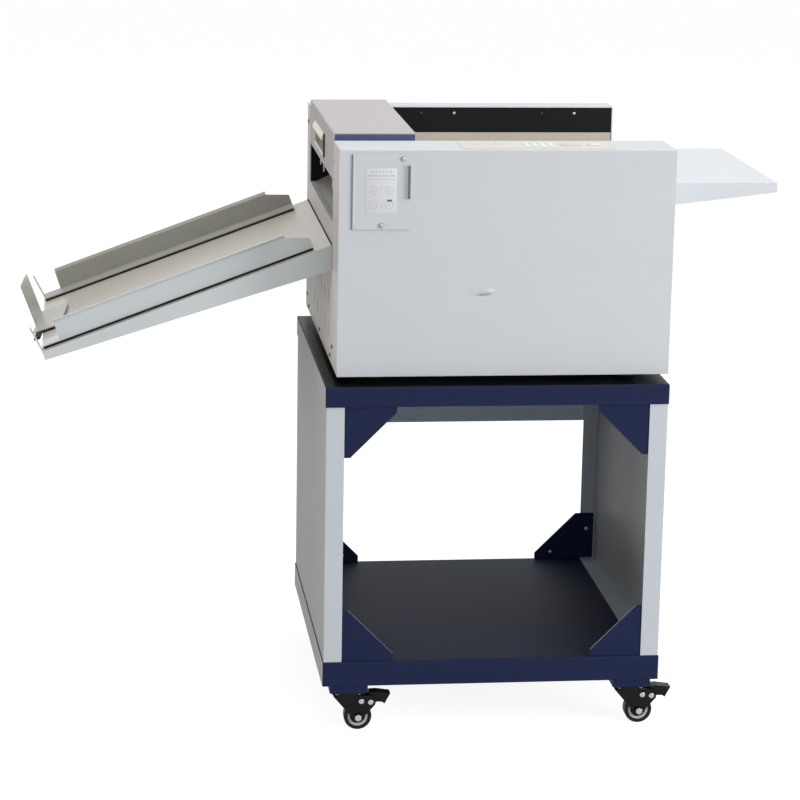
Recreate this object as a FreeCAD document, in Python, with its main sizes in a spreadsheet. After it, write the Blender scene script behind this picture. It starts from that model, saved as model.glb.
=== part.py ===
"""Paper creasing machine on its wheeled stand, as a parametric FreeCAD document.

Every driving size is a cell of the Sizes sheet. Each sub-part is a body or a boolean
whose sizes and places are formulas over those cells. Lengths are in millimetres.

Row frame: +X runs from the delivery side to the in-feed side, +Y runs from the
operator's side to the far side, +Z is up, and z = 0 is the floor.
"""
import FreeCAD, Part
import os
import re

import Sketcher

DOCUMENT = FreeCAD.newDocument("CreasingMachine")
SHEET = DOCUMENT.addObject("Spreadsheet::Sheet", "Sizes")

# ---------------------------------------------------------------- driving sizes
SIZES = {
    # stand
    "stand_w": 610, "stand_d": 616, "stand_tall": 548, "stand_top_tall": 36,
    "stand_shelf_tall": 45, "steel": 2, "post_w": 32, "back_panel_tall": 217,
    "gusset_leg": 92, "gusset_clip": 11, "gusset_t": 3, "gusset_lap": 26,
    # castors
    "castor_tall": 77, "castor_block": 14.5, "block_w": 68, "block_inset_x": 14,
    "block_inset_y": 2, "castor_plate": 60, "race_d": 44, "race_tall": 9,
    "castor_trail": 19, "fork_t": 3, "fork_gap": 2, "fork_back": 26, "fork_nose": 9,
    "web_end": 28, "wheel_d": 50, "wheel_w": 20, "wheel_hub_d": 34, "hub_step": 1,
    "tread_r": 4, "axle_d": 8, "bolt_head_d": 13.6, "bolt_head_t": 4.5,
    "pedal_x": 41.5, "pedal_z": 53, "pedal_w": 22, "pedal_reach": 36, "pedal_eye_d": 10,
    "pivot_d": 6, "rivet_out": 1,
    # machine casing
    "machine_w": 590, "machine_d": 636, "machine_tall": 400, "inset_x": 22,
    "inset_y": 29, "foot_tall": 12, "foot_d": 34, "near_box_d": 108, "far_box_d": 57,
    "skin": 2, "frame_t": 5, "base_t": 3, "bend": 3, "running": 0.05, "seat_gap": 0.3,
    "bush_wall": 3, "bush_flange": 2, "tie_d": 12, "vent_w": 6, "vent_tall": 24,
    "vent_low": 40, "vent_high": 98,
    # hood and exit
    "hood_w": 146, "hood_rise": 13, "exit_low": 255, "exit_high": 330, "hood_gap": 2.3,
    "hood_end_tall": 20, "hood_fall": 14, "hinge_rod_d": 8, "hinge_in": 10,
    "hinge_down": 6, "lug_half": 6, "lug_drop": 12, "ear_drop": 18, "exit_flange": 12,
    "chute_x": 86, "chute_rise": 36,
    "handle_y": 370, "handle_z": 367.5, "handle_w": 190, "handle_tall": 45,
    "handle_deep": 13, "handle_rim": 5,
    # feed path
    "bed_z": 324, "bed_t": 3, "bed_lip": 20, "guide_tall": 26, "guide_foot": 40,
    "guide_start": 6, "guide_end": 4, "feed_x": 122, "feed_z": 350, "feed_d": 44,
    "feed_shaft_d": 10, "tyre_w": 50, "tyre_gap": 1, "exit_x": 28, "exit_roller_d": 24,
    "exit_shaft_d": 8, "exit_tyre_w": 36, "exit_drop": 2, "exit_part": 0.15,
    "pad_w": 30, "pad_deep": 14, "pad_gap": 1, "pad_foot_w": 50, "pad_foot_t": 3,
    # creasing head
    "crease_x": 74, "beam_w": 16, "beam_z": 330, "beam_tall": 60, "beam_over": 13,
    "beam_nose": 2, "blade_t": 0.8, "blade_tall": 4, "crease_stroke": 5, "die_w": 24,
    "die_tall": 26, "die_edge": 2, "die_gap": 2, "groove_w": 1.6, "groove_deep": 2,
    "arm_reach": 26, "arm_t": 6, "arm_pin_d": 6, "arm_root": 18, "arm_tip": 8,
    "arm_nose": 5, "pin_reach": 8, "rock_shaft_d": 12, "rock_z": 380,
    # drive
    "pulley_d": 32, "pulley_w": 12, "pulley_y": 60, "pulley_rim_t": 1.5,
    "pulley_rim_d": 38, "shaft_nose": 3, "shaft_tail": 7, "gear_teeth": 24,
    "gear_w": 8, "gear_gap": 3, "belt_t": 1.8, "motor_x": 80, "motor_z": 200,
    "motor_d": 60, "motor_len": 82, "motor_boss_d": 16, "motor_boss": 6,
    "gearmotor_y": 18, "gearmotor_len": 56, "gearmotor_d": 28, "flange_t": 3,
    "flange_w": 30, "flange_tall": 32, "flange_in": 6, "post_x": 18, "post_z": 12,
    "post_d": 6, "shaft_in": 3, "shaft_pocket": 8,
    "supply_x": 400, "supply_y": 16, "supply_w": 160, "supply_d": 76, "supply_tall": 80,
    "board_x": 240, "board_z": 140, "board_w": 200, "board_tall": 150, "board_t": 2,
    "board_post": 10, "board_edge": 10,
    # in-feed table
    "infeed_reach": 800, "table_y": 110, "table_d": 432, "table_lip": 17,
    "table_root": 39, "table_flat": 25, "spacer_w": 30, "spacer_tall": 16,
    "table_spacer_y": 60, "table_spacer_z": 8,
    # delivery tray
    "tray_slope": 20.33, "tray_z": 215, "tray_y": 108, "tray_w": 498, "tray_len": 545,
    "tray_lip": 16, "tray_root": 43, "tray_gap": 0.5, "tray_spacer_y": 70, "tab_w": 14,
    "tab_tall": 46, "tab_lean": 6,
    "side_start": 3, "side_short": 36, "side_set_y": 16, "side_foot": 50,
    "side_tall": 40, "side_back": 32, "side_lip": 5, "side_cut": 42,
    "side_cut_drop": 17, "magnet_t": 4, "magnet_w": 20, "magnet_in": 1,
    "stop_over": 10.5, "stop_tall": 84, "stop_w": 104, "stop_foot_w": 170,
    "stop_foot": 54, "stop_y": 354, "stop_turn": 5, "stop_shift": 27,
    "stop_magnet_x": 17, "stop_block_x": 6, "stop_magnet_w": 78, "stop_magnet_out": 45,
    # access door and control strip
    "door_x": 23, "door_w": 101.5, "door_z": 261, "door_tall": 131, "door_stand": 3,
    "door_lip_tall": 58, "door_lip_out": 6, "door_lip_run": 6, "door_lip_down": 19,
    "door_pin_in": 2, "knuckle_d": 4, "knuckle_len": 10, "hinge_pin_d": 2,
    "window_side": 6, "window_low": 14, "window_edge": 16, "screw_d": 4,
    "screw_play": 0.4, "screw_head_d": 8, "screw_head_t": 2, "screw_in": 14,
    "screw_down": 8, "screw_up": 7, "screw_hole": 6, "cap_d": 7, "cap_t": 1.5,
    "gusset_cap_in": 12, "gusset_cap_out": 60, "panel_x": 214, "panel_w": 275,
    "panel_y": 4, "panel_d": 94, "panel_t": 0.8,
    # inlet and rocker
    "inlet_x": 470, "inlet_z": 40, "inlet_w": 48, "inlet_tall": 28, "inlet_deep": 26,
    "inlet_rim_x": 6, "inlet_rim_z": 4, "socket_x": 2.5, "socket_z": 5.5,
    "socket_w": 24, "socket_tall": 17, "socket_deep": 16, "blade_x": 8,
    "blade_pitch": 6, "blade_w": 2, "blade_z": 12, "blade_h": 4, "blade_out": 13,
    "well_x": 29.5, "well_z": 3, "well_w": 15, "well_tall": 22, "well_deep": 10,
    "rocker_out": 4, "rocker_in": 7, "rocker_tall": 18, "rocker_dip": 1.5,
    "rocker_pivot_d": 3, "stub": 1.5,
}

WORD = re.compile(r"[A-Za-z_]\w*")


def fill_sheet():
    """Write each size into its own cell and name the cell."""
    for row, (word, size) in enumerate(SIZES.items(), start=1):
        SHEET.set(f"A{row}", word)
        SHEET.set(f"B{row}", str(size))
        SHEET.setAlias(f"B{row}", word)
    DOCUMENT.recompute()


def formula(text):
    """Point the size words of a formula at the sheet."""
    return WORD.sub(lambda m: f"Sizes.{m[0]}" if m[0] in SIZES else m[0], str(text))


def number(text):
    """Work a formula out with the sizes as they are now."""
    return float(SHEET.evalExpression(formula(text)))


# ---------------------------------------------------------------- drawing helpers
# For each origin plane: the role's name, and whether its normal runs along + of the axis.
PLANES = {"XY": ("XY_Plane", True), "XZ": ("XZ_Plane", False), "YZ": ("YZ_Plane", True)}
SUB_PARTS = {}


def place(thing, at, turn=None):
    """Bind the placement of a sub-part: three formulas, and an axis with an angle."""
    if turn:
        axis, angle = turn
        rotation = FreeCAD.Rotation(FreeCAD.Vector(*axis), number(angle))
        thing.Placement = FreeCAD.Placement(FreeCAD.Vector(), rotation)
        thing.setExpression("Placement.Rotation.Angle", f"({formula(angle)}) * 1 deg")
    for letter, text in zip("xyz", at):
        thing.setExpression(f"Placement.Base.{letter}", formula(text))


def new_body(name, at=("0", "0", "0"), turn=None):
    """Start a sub-part as a PartDesign body at its assembly's own frame."""
    body = DOCUMENT.addObject("PartDesign::Body", name)
    body.Label = name
    place(body, at, turn)
    SUB_PARTS[name] = body
    return body


def new_sketch(body, plane, start):
    """Attach an empty sketch to one of the body's own origin planes, moved to start."""
    role, along = PLANES[plane]
    sketch = body.newObject("Sketcher::SketchObject", f"{body.Name}_sketch")
    support = next(f for f in body.Origin.OriginFeatures if f.Role == role)
    sketch.AttachmentSupport = [(support, "")]
    sketch.MapMode = "FlatFace"
    offset = start if along else f"-({start})"
    sketch.setExpression("AttachmentOffset.Base.z", formula(offset))
    return sketch


def bind_point(sketch, item, end, corner):
    """Hold one end of a sketch item at two formulas."""
    for kind, text in zip(("DistanceX", "DistanceY"), corner):
        index = sketch.addConstraint(Sketcher.Constraint(kind, item, end, number(text)))
        sketch.setExpression(f"Constraints[{index}]", formula(text))


def draw_outline(sketch, corners):
    """Draw a closed outline whose every corner is bound."""
    first = sketch.GeometryCount
    spots = [FreeCAD.Vector(number(u), number(v), 0) for u, v in corners]
    for here, there in zip(spots, spots[1:] + spots[:1]):
        sketch.addGeometry(Part.LineSegment(here, there), False)
    for step, corner in enumerate(corners):
        after = first + (step + 1) % len(corners)
        sketch.addConstraint(Sketcher.Constraint("Coincident", first + step, 2, after, 1))
        bind_point(sketch, first + step, 1, corner)


def draw_circle(sketch, centre, diameter):
    """Draw a bound circle."""
    spot = FreeCAD.Vector(number(centre[0]), number(centre[1]), 0)
    ring = Part.Circle(spot, FreeCAD.Vector(0, 0, 1), number(diameter) / 2)
    item = sketch.addGeometry(ring, False)
    bind_point(sketch, item, 3, centre)
    index = sketch.addConstraint(Sketcher.Constraint("Diameter", item, number(diameter)))
    sketch.setExpression(f"Constraints[{index}]", formula(diameter))


def extrude(body, plane, start, length, outlines=(), circles=(), cut=False):
    """Pad or pocket outlines and circles from start, along the plane's + axis."""
    sketch = new_sketch(body, plane, start)
    for corners in outlines:
        draw_outline(sketch, corners)
    for centre, diameter in circles:
        draw_circle(sketch, centre, diameter)
    kind = "Pocket" if cut else "Pad"
    feature = body.newObject(f"PartDesign::{kind}", f"{body.Name}_{kind.lower()}")
    feature.Profile = sketch
    feature.Reversed = PLANES[plane][1] == cut
    feature.setExpression("Length", formula(length))
    body.Tip = feature
    return feature


def rectangle(u, v, wide, tall):
    """Give the corners of an upright rectangle."""
    return [(u, v), (f"{u} + {wide}", v), (f"{u} + {wide}", f"{v} + {tall}"),
            (u, f"{v} + {tall}")]


def block(body, corner, size, cut=False):
    """Pad or pocket a block from its lowest corner."""
    x, y, z = corner
    wide, deep, tall = size
    return extrude(body, "XY", z, tall, [rectangle(x, y, wide, deep)], cut=cut)


def rod(body, plane, start, length, centre, diameter, cut=False):
    """Pad or pocket a round bar along the plane's normal axis."""
    return extrude(body, plane, start, length, circles=[(centre, diameter)], cut=cut)


def fillet_edges(body, radius, chosen):
    """Round the edges that a test on the edge and the shape's box picks."""
    DOCUMENT.recompute()
    shape = body.Tip.Shape
    names = [f"Edge{i}" for i, edge in enumerate(shape.Edges, start=1)
             if chosen(edge, shape.BoundBox)]
    sharp = body.Tip
    fillet = body.newObject("PartDesign::Fillet", f"{body.Name}_fillet")
    fillet.Base = (sharp, names)
    fillet.setExpression("Radius", formula(radius))
    body.Tip = fillet
    return fillet


def runs_along(edge, axis):
    """Tell whether an edge is straight and parallel to an axis."""
    if not isinstance(edge.Curve, Part.Line):
        return False
    return abs(abs(edge.Curve.Direction.dot(FreeCAD.Vector(*axis))) - 1) < 1e-6


def near(a, b):
    """Tell whether two lengths agree."""
    return abs(a - b) < 1e-4


# ---------------------------------------------------------------- frames
# The stop's tip and the table's end set the middle of the whole length.
# The stop's plate stands turned on the slope, and the rounded corner nearest to the
# operator reaches out the most.
STOP_OUT = "(tray_len + stop_over)"
STOP_R = "(2 * bend)"
STOP_LEAN = "(sin(stop_turn) * cos(tray_slope))"
STOP_TIP = (f"({STOP_OUT} * cos(tray_slope)"
            f" + (stop_w / 2 - stop_shift - {STOP_R}) * {STOP_LEAN}"
            f" + (stop_tall - {STOP_R}) * sin(tray_slope)"
            f" + {STOP_R} * sqrt({STOP_LEAN} ^ 2 + sin(tray_slope) ^ 2))")
MACHINE_X = f"({STOP_TIP} - infeed_reach) / 2"
MACHINE_Y = "(inset_y - machine_d - rocker_out) / 2"
STAND_Z = "castor_tall + castor_block"
MACHINE_Z = f"{STAND_Z} + stand_tall + foot_tall"
STAND = (f"{MACHINE_X} - inset_x + stand_w / 2", f"{MACHINE_Y} - inset_y + stand_d / 2",
         STAND_Z)
MACHINE = (MACHINE_X, MACHINE_Y, MACHINE_Z)
TRAY = (MACHINE_X, MACHINE_Y, f"{MACHINE_Z} + tray_z")
TRAY_TURN = ((0, -1, 0), "tray_slope")

# Machine frame: x = 0 on the delivery face, y = 0 on the operator's face, z = 0 underneath.
NEAR_WALL = "near_box_d"
FAR_WALL = "(machine_d - far_box_d)"
BETWEEN = f"({FAR_WALL} - {NEAR_WALL})"
PATH_Y = f"({NEAR_WALL} + {BETWEEN} / 2)"


# ---------------------------------------------------------------- stand
def pan(name, tall, low):
    """Make a folded steel pan, open underneath, with its top at low + tall."""
    body = new_body(name, STAND)
    block(body, ("-stand_w / 2", "-stand_d / 2", low), ("stand_w", "stand_d", tall))
    fillet_edges(body, "bend", lambda e, box: runs_along(e, (0, 0, 1))
                 or near(e.BoundBox.ZMin, box.ZMax))
    block(body, ("-stand_w / 2 + steel", "-stand_d / 2 + steel", low),
          ("stand_w - 2 * steel", "stand_d - 2 * steel", f"{tall} - steel"), cut=True)
    return body


def stand_shelf():
    """Make the bottom shelf with the four castor brackets welded under it."""
    body = pan("stand_shelf", "stand_shelf_tall", "0")
    drop = "(stand_shelf_tall - steel + castor_block)"
    middle_x = "(stand_w / 2 - block_inset_x - block_w / 2)"
    middle_y = "(stand_d / 2 - block_inset_y - block_w / 2)"
    for side_x in (-1, 1):
        for side_y in (-1, 1):
            left = f"{side_x} * {middle_x} - block_w / 2"
            front = f"{side_y} * {middle_y} - block_w / 2"
            block(body, (left, front, "-castor_block"), ("block_w", "block_w", "fork_t"))
            block(body, (left, front, "-castor_block"), ("block_w", "fork_t", drop))
            for shift in ("0", "block_w - fork_t"):
                block(body, (f"{left} + {shift}", front, "-castor_block"),
                      ("fork_t", "block_w", drop))


def side_panel(name, side):
    """Make one side of the stand: a web with flanges folded inwards on its four edges."""
    body = new_body(name, STAND)
    outer = f"{side} * (stand_w / 2 - steel)"
    low = "stand_shelf_tall"
    tall = "(stand_tall - steel - stand_shelf_tall)"
    deep = "(stand_d - 2 * steel)"
    front = f"(-{deep} / 2)"

    def strip(wide):
        """Give the left edge of a strip that starts at the outer face."""
        return outer if side < 0 else f"{outer} - {wide}"

    block(body, (strip("steel"), front, low), ("steel", deep, tall))
    for y in (front, f"{deep} / 2 - steel"):
        block(body, (strip("post_w"), y, low), ("post_w", "steel", tall))
    for z in (low, f"{low} + {tall} - steel"):
        block(body, (strip("post_w"), front, z), ("post_w", deep, "steel"))


def stand_back_panel():
    """Make the rear panel, screwed to the outside of the rear flanges."""
    body = new_body("stand_back_panel", STAND)
    top = "(stand_tall - stand_top_tall - seat_gap)"
    block(body, ("-stand_w / 2 + steel", "stand_d / 2 - steel",
                 "stand_tall - back_panel_tall"),
          ("stand_w - 2 * steel", "steel", f"{top} - (stand_tall - back_panel_tall)"))


# A top gusset reaches up behind the rim of the stand's top by this much.
GUSSET_HIDDEN = "(stand_top_tall - 2 * steel)"
POST_INNER = "(stand_w / 2 - steel - post_w)"


def gusset_outline(side, corner_z, up):
    """Give a gusset's outline: a right triangle with both points clipped off."""
    lap = f"{side} * ({POST_INNER} + gusset_lap)"
    leg = f"{side} * ({POST_INNER} - gusset_leg)"
    clip = f"{side} * ({POST_INNER} - gusset_clip)"
    hidden = "0" if up > 0 else GUSSET_HIDDEN
    tip = f"{corner_z} + {up} * (gusset_clip + {hidden})"
    end = f"{corner_z} + {up} * (gusset_leg + {hidden})"
    return [(lap, corner_z), (leg, corner_z), (leg, tip), (clip, end), (lap, end)]


def stand_gussets():
    """Make the six corner gussets: two at the top, two at each end of the shelf."""
    body = new_body("stand_gussets", STAND)
    behind = "(stand_d / 2 - 2 * steel)"
    for side in (-1, 1):
        shelf = gusset_outline(side, "(stand_shelf_tall + steel)", 1)
        top = gusset_outline(side, "(stand_tall - 2 * steel)", -1)
        extrude(body, "XZ", f"-{behind}", "gusset_t", [shelf])
        extrude(body, "XZ", f"-{behind}", "gusset_t", [top])
        extrude(body, "XZ", f"{behind} - gusset_t", "gusset_t", [shelf])


# ---------------------------------------------------------------- castors
CORNERS = {"front_left": (-1, -1), "front_right": (1, -1),
           "rear_left": (-1, 1), "rear_right": (1, 1)}


def castor_place(side_x, side_y):
    """Give the floor point under a castor's swivel axis."""
    reach_x = "(stand_w / 2 - block_inset_x - block_w / 2)"
    reach_y = "(stand_d / 2 - block_inset_y - block_w / 2)"
    return (f"{STAND[0]} + {side_x} * {reach_x}", f"{STAND[1]} + {side_y} * {reach_y}", "0")


LEG_IN = "(wheel_w / 2 + fork_gap)"
CROWN = "(castor_tall - fork_t - race_tall)"


def castor_fork(corner, at):
    """Make a swivel fork: plate, ball race, two pressed legs, brake rivet and axle bolt."""
    body = new_body(f"castor_fork_{corner}", at)
    half = "castor_plate / 2"
    block(body, (f"-{half}", f"-{half}", "castor_tall - fork_t"),
          ("castor_plate", "castor_plate", "fork_t"))
    rod(body, "XY", CROWN, "race_tall", ("0", "0"), "race_d")
    rod(body, "XY", f"{CROWN} - fork_t", "fork_t", ("0", "0"), f"2 * {LEG_IN} + 2 * fork_t")
    leg = [("-fork_back", CROWN), ("pedal_x + fork_t", CROWN),
           ("pedal_x + fork_nose", "pedal_z + fork_nose / 2"),
           ("pedal_x + fork_nose", "pedal_z - fork_nose / 2"),
           ("castor_trail + axle_d + fork_t", "wheel_d / 2"),
           ("castor_trail + axle_d", "wheel_d / 2 - axle_d"),
           ("castor_trail - axle_d", "wheel_d / 2 - axle_d"),
           ("castor_trail - axle_d - fork_t", "wheel_d / 2")]
    for y in (LEG_IN, f"-{LEG_IN} - fork_t"):
        extrude(body, "XZ", y, "fork_t", [leg])
    web_low = "(wheel_d + fork_gap)"
    web_share = f"({CROWN} - {web_low}) / ({CROWN} - wheel_d / 2)"
    web_back = f"{web_share} * (castor_trail - axle_d - fork_t + fork_back) - fork_back"
    extrude(body, "XZ", f"-{LEG_IN}", f"2 * {LEG_IN}",
            [[("-fork_back", CROWN), ("web_end", CROWN), ("web_end", web_low),
              (web_back, web_low)]])
    rod(body, "XZ", f"-{LEG_IN} - fork_t - rivet_out", f"2 * ({LEG_IN} + fork_t + rivet_out)",
        ("pedal_x", "pedal_z"), "pivot_d")
    axle = ("castor_trail", "wheel_d / 2")
    rod(body, "XZ", f"-{LEG_IN} - fork_t", f"2 * ({LEG_IN} + fork_t)", axle, "axle_d")
    for y in (f"-{LEG_IN} - fork_t - bolt_head_t", f"{LEG_IN} + fork_t"):
        rod(body, "XZ", y, "bolt_head_t", axle, "bolt_head_d")


def castor_wheel(corner, at):
    """Make a wheel turned in one profile: rounded tread, dished sides and a bored hub."""
    x, y, _ = at
    body = new_body(f"castor_wheel_{corner}", (f"{x} + castor_trail", y, "wheel_d / 2"))
    half, rim, hub = "wheel_w / 2", "wheel_d / 2", "wheel_hub_d / 2"
    right = [(half, "axle_d"), (f"{half} - fork_gap", "axle_d + hub_step"),
             (f"{half} - fork_gap", f"{hub} - hub_step"), (half, hub),
             (half, f"{rim} - tread_r"), (f"{half} - tread_r / 2", f"{rim} - tread_r / 4"),
             (f"{half} - tread_r", rim)]
    left = [(f"-({u})", v) for u, v in reversed(right)]
    bore = "axle_d / 2 + running"
    sketch = new_sketch(body, "YZ", "0")
    draw_outline(sketch, [(f"-({half})", bore), (half, bore)] + right + left)
    turned = body.newObject("PartDesign::Revolution", f"{body.Name}_turned")
    turned.Profile = sketch
    turned.ReferenceAxis = (sketch, ["H_Axis"])
    turned.Angle = 360
    body.Tip = turned


# The pedal's side view round its rivet, in shares of its reach.
PEDAL_SHARES = (("-0.14", "0.11"), ("-0.06", "0.47"), ("0.31", "0.49"), ("0.75", "0.42"),
                ("1", "0.39"), ("0.89", "0.19"), ("0.72", "-0.13"), ("0.58", "-0.04"),
                ("0.33", "-0.03"), ("0.17", "-0.11"))


def castor_brake(corner, at):
    """Make a brake pedal whose eye turns on a rivet between the fork's legs."""
    x, y, _ = at
    body = new_body(f"castor_brake_{corner}", (f"{x} + pedal_x", y, "pedal_z"))
    lever = [(f"{u} * pedal_reach", f"{v} * pedal_reach") for u, v in PEDAL_SHARES]
    extrude(body, "XZ", "-pedal_w / 2", "pedal_w", [lever])
    rod(body, "XZ", "-pedal_w / 2", "pedal_w", ("0", "0"), "pedal_eye_d")
    rod(body, "XZ", "-pedal_w / 2", "pedal_w", ("0", "0"), "pivot_d + 2 * running",
        cut=True)


# ---------------------------------------------------------------- machine casing
def box_cover(name, near_y, deep):
    """Make a folded casing over one side box, open underneath and towards the middle."""
    body = new_body(name, MACHINE)
    is_near = near_y == "0"
    block(body, ("0", near_y, "0"), ("machine_w", deep, "machine_tall"))
    fillet_edges(body, "bend", lambda e, box: (
        near(e.BoundBox.ZMin, box.ZMax) and not runs_along(e, (0, 0, 1))
        and not near(e.BoundBox.YMin, box.YMax if is_near else box.YMin)))
    inner_y = "skin" if is_near else near_y
    block(body, ("skin", inner_y, "0"),
          ("machine_w - 2 * skin", f"{deep} - skin", "machine_tall - skin"), cut=True)
    return body


WINDOW = ("door_x + window_side", "door_z + window_low",
          "door_w - window_side - window_edge", "door_tall - window_low - window_edge")
DOOR_SCREWS = (("door_x + door_w - screw_in", "door_z + door_tall - screw_down"),
               ("door_x + door_w / 2", "door_z + screw_up"))


def near_cover():
    """Make the operator's side casing with the tool window behind the access door."""
    body = box_cover("near_cover", "0", "near_box_d")
    extrude(body, "XZ", "0", "skin", [rectangle(*WINDOW)], cut=True)
    for centre in DOOR_SCREWS:
        rod(body, "XZ", "0", "skin", centre, "screw_hole", cut=True)


def far_cover():
    """Make the far side casing with the cut-out for the mains inlet."""
    body = box_cover("far_cover", FAR_WALL, "far_box_d")
    extrude(body, "XZ", "machine_d - skin", "skin",
            [rectangle("inlet_x", "inlet_z", "inlet_w", "inlet_tall")], cut=True)


EXIT_SPREAD = "(exit_roller_d / 2 + exit_part)"
EXIT_LOW = f"(bed_z - exit_drop - {EXIT_SPREAD})"
EXIT_HIGH = f"(bed_z - exit_drop + {EXIT_SPREAD})"
ROCK_X = "(crease_x + arm_reach)"
AXES = (("feed_x", "feed_z", "feed_shaft_d"), ("exit_x", EXIT_LOW, "exit_shaft_d"),
        ("exit_x", EXIT_HIGH, "exit_shaft_d"), (ROCK_X, "rock_z", "rock_shaft_d"))


def side_frame(name, low_y):
    """Make a black frame plate, bored for the shafts and slotted for the crease beam."""
    body = new_body(name, MACHINE)
    extrude(body, "XZ", low_y, "frame_t",
            [rectangle("skin", "base_t", "machine_w - 2 * skin",
                       "machine_tall - skin - base_t")])
    slot_w = "(beam_w + 2 * seat_gap)"
    slot_low = "(beam_z - crease_stroke - blade_tall - die_gap)"
    slot = rectangle(f"crease_x - {slot_w} / 2", slot_low, slot_w,
                     f"machine_tall - {slot_low}")
    extrude(body, "XZ", low_y, "frame_t", [slot], cut=True)
    bores = [((x, z), f"{shaft} + 2 * bush_wall") for x, z, shaft in AXES]
    extrude(body, "XZ", low_y, "frame_t", circles=bores, cut=True)
    if low_y != FAR_WALL:
        rod(body, "XZ", low_y, "frame_t", ("motor_x", "motor_z"), "motor_boss_d", cut=True)


def bearings():
    """Make the flanged bushes of the four shafts, pressed into both frame plates."""
    body = new_body("bearings", MACHINE)
    near_y, far_y = f"{NEAR_WALL} - frame_t", FAR_WALL
    flanges = {near_y: f"{near_y} - bush_flange", far_y: f"{far_y} + frame_t"}
    for x, z, shaft in AXES:
        outer = f"{shaft} + 2 * bush_wall"
        bore = f"{shaft} + 2 * running"
        for y, flange_y in flanges.items():
            rod(body, "XZ", y, "frame_t", (x, z), outer)
            rod(body, "XZ", flange_y, "bush_flange", (x, z), f"{outer} + 2 * bush_flange")
            rod(body, "XZ", f"{y} - bush_flange", "frame_t + 2 * bush_flange", (x, z), bore,
                cut=True)


def base_plate():
    """Make the floor plate of the machine, which carries both frame plates."""
    body = new_body("base_plate", MACHINE)
    block(body, ("skin", "skin", "0"),
          ("machine_w - 2 * skin", "machine_d - 2 * skin", "base_t"))


def rubber_feet():
    """Make four round rubber feet under the floor plate."""
    body = new_body("rubber_feet", MACHINE)
    for x in ("2 * foot_d", "machine_w - 2 * foot_d"):
        for y in ("1.5 * foot_d", "stand_d - inset_y - 1.5 * foot_d"):
            rod(body, "XY", "-foot_tall", "foot_tall", (x, y), "foot_d")
    fillet_edges(body, "bend", lambda e, box: near(e.BoundBox.ZMax, box.ZMin))


# The vents of one row: how many, and the share of the width before them and along them.
VENT_COLUMNS, VENT_FIRST, VENT_RUN = 5, "0.125", "0.61"


def outfeed_panel():
    """Make the lower delivery panel with two rows of vent slots."""
    body = new_body("outfeed_panel", MACHINE)
    extrude(body, "YZ", "0", "skin", [rectangle(NEAR_WALL, "0", BETWEEN, "exit_low")])
    block(body, ("0", NEAR_WALL, "exit_low - skin"), ("exit_flange", BETWEEN, "skin"))
    sketch = new_sketch(body, "YZ", "0")
    first_y = f"{NEAR_WALL} + {BETWEEN} * {VENT_FIRST} - vent_w / 2"
    for z in ("vent_low", "vent_high"):
        draw_outline(sketch, rectangle(first_y, z, "vent_w", "vent_tall"))
    vents = body.newObject("PartDesign::Pocket", "outfeed_vents")
    vents.Profile = sketch
    vents.Reversed = True
    vents.setExpression("Length", formula("skin"))
    body.Tip = vents
    row = body.newObject("PartDesign::LinearPattern", "outfeed_vent_row")
    row.Originals = [vents]
    row.Direction = (sketch, ["H_Axis"])
    row.setExpression("Length", formula(f"{BETWEEN} * {VENT_RUN}"))
    row.Occurrences = VENT_COLUMNS
    body.Tip = row


def infeed_panel():
    """Make the panel below the in-feed table."""
    body = new_body("infeed_panel", MACHINE)
    block(body, ("machine_w - skin", NEAR_WALL, "0"), ("skin", BETWEEN, "bed_z - bed_t"))


def feed_bed():
    """Make the bed plate with side lips and the window of the separator pad."""
    body = new_body("feed_bed", MACHINE)
    left = "(crease_x + die_w / 2 + die_gap)"
    wide = f"(machine_w - {left})"
    block(body, (left, NEAR_WALL, "bed_z - bed_t"), (wide, BETWEEN, "bed_t"))
    for y in (NEAR_WALL, f"{FAR_WALL} - skin"):
        block(body, (left, y, "bed_z - bed_lip"), (f"{wide} - skin", "skin", "bed_lip"))
    block(body, ("feed_x - pad_w / 2 - pad_gap", f"{PATH_Y} - tyre_w", "bed_z - bed_t"),
          ("pad_w + 2 * pad_gap", "2 * tyre_w", "bed_t"), cut=True)


def separator_pad():
    """Make the friction pad under the feed roller with its holder and foot."""
    body = new_body("separator_pad", MACHINE)
    feed_gap = "(feed_z - feed_d / 2 - bed_z)"
    block(body, ("feed_x - pad_w / 2", f"{PATH_Y} - tyre_w + pad_gap", "bed_z - pad_deep"),
          ("pad_w", "2 * tyre_w - 2 * pad_gap", f"pad_deep + {feed_gap} - pad_gap"))
    foot_z = "bed_z - pad_deep - pad_foot_t"
    block(body, ("feed_x - pad_foot_w / 2", f"{PATH_Y} - tyre_w / 2", foot_z),
          ("pad_foot_w", "tyre_w", "pad_foot_t"))
    for x in ("feed_x - pad_foot_w / 2", "feed_x + pad_foot_w / 2 - pad_foot_t"):
        block(body, (x, f"{PATH_Y} - tyre_w / 2", foot_z),
              ("pad_foot_t", "tyre_w", "pad_deep + pad_foot_t - bed_t"))


def exit_chute():
    """Make the sloping chute that drops the sheet onto the tray."""
    body = new_body("exit_chute", MACHINE)
    low, high = "(exit_low - skin)", "(exit_low + chute_rise)"
    outline = [("exit_flange", low), ("exit_flange", f"{low} + skin"), ("chute_x", high),
               ("chute_x", f"{high} - skin")]
    extrude(body, "XZ", NEAR_WALL, BETWEEN, [outline])


# Centres of the tie rods between the frame plates, x and z.
RODS = (("300", "60"), ("520", "200"), ("60", "120"), ("430", "290"))
HINGE_X = "(hood_w - hinge_in)"
HINGE_Z = "(machine_tall - hinge_down)"


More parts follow.
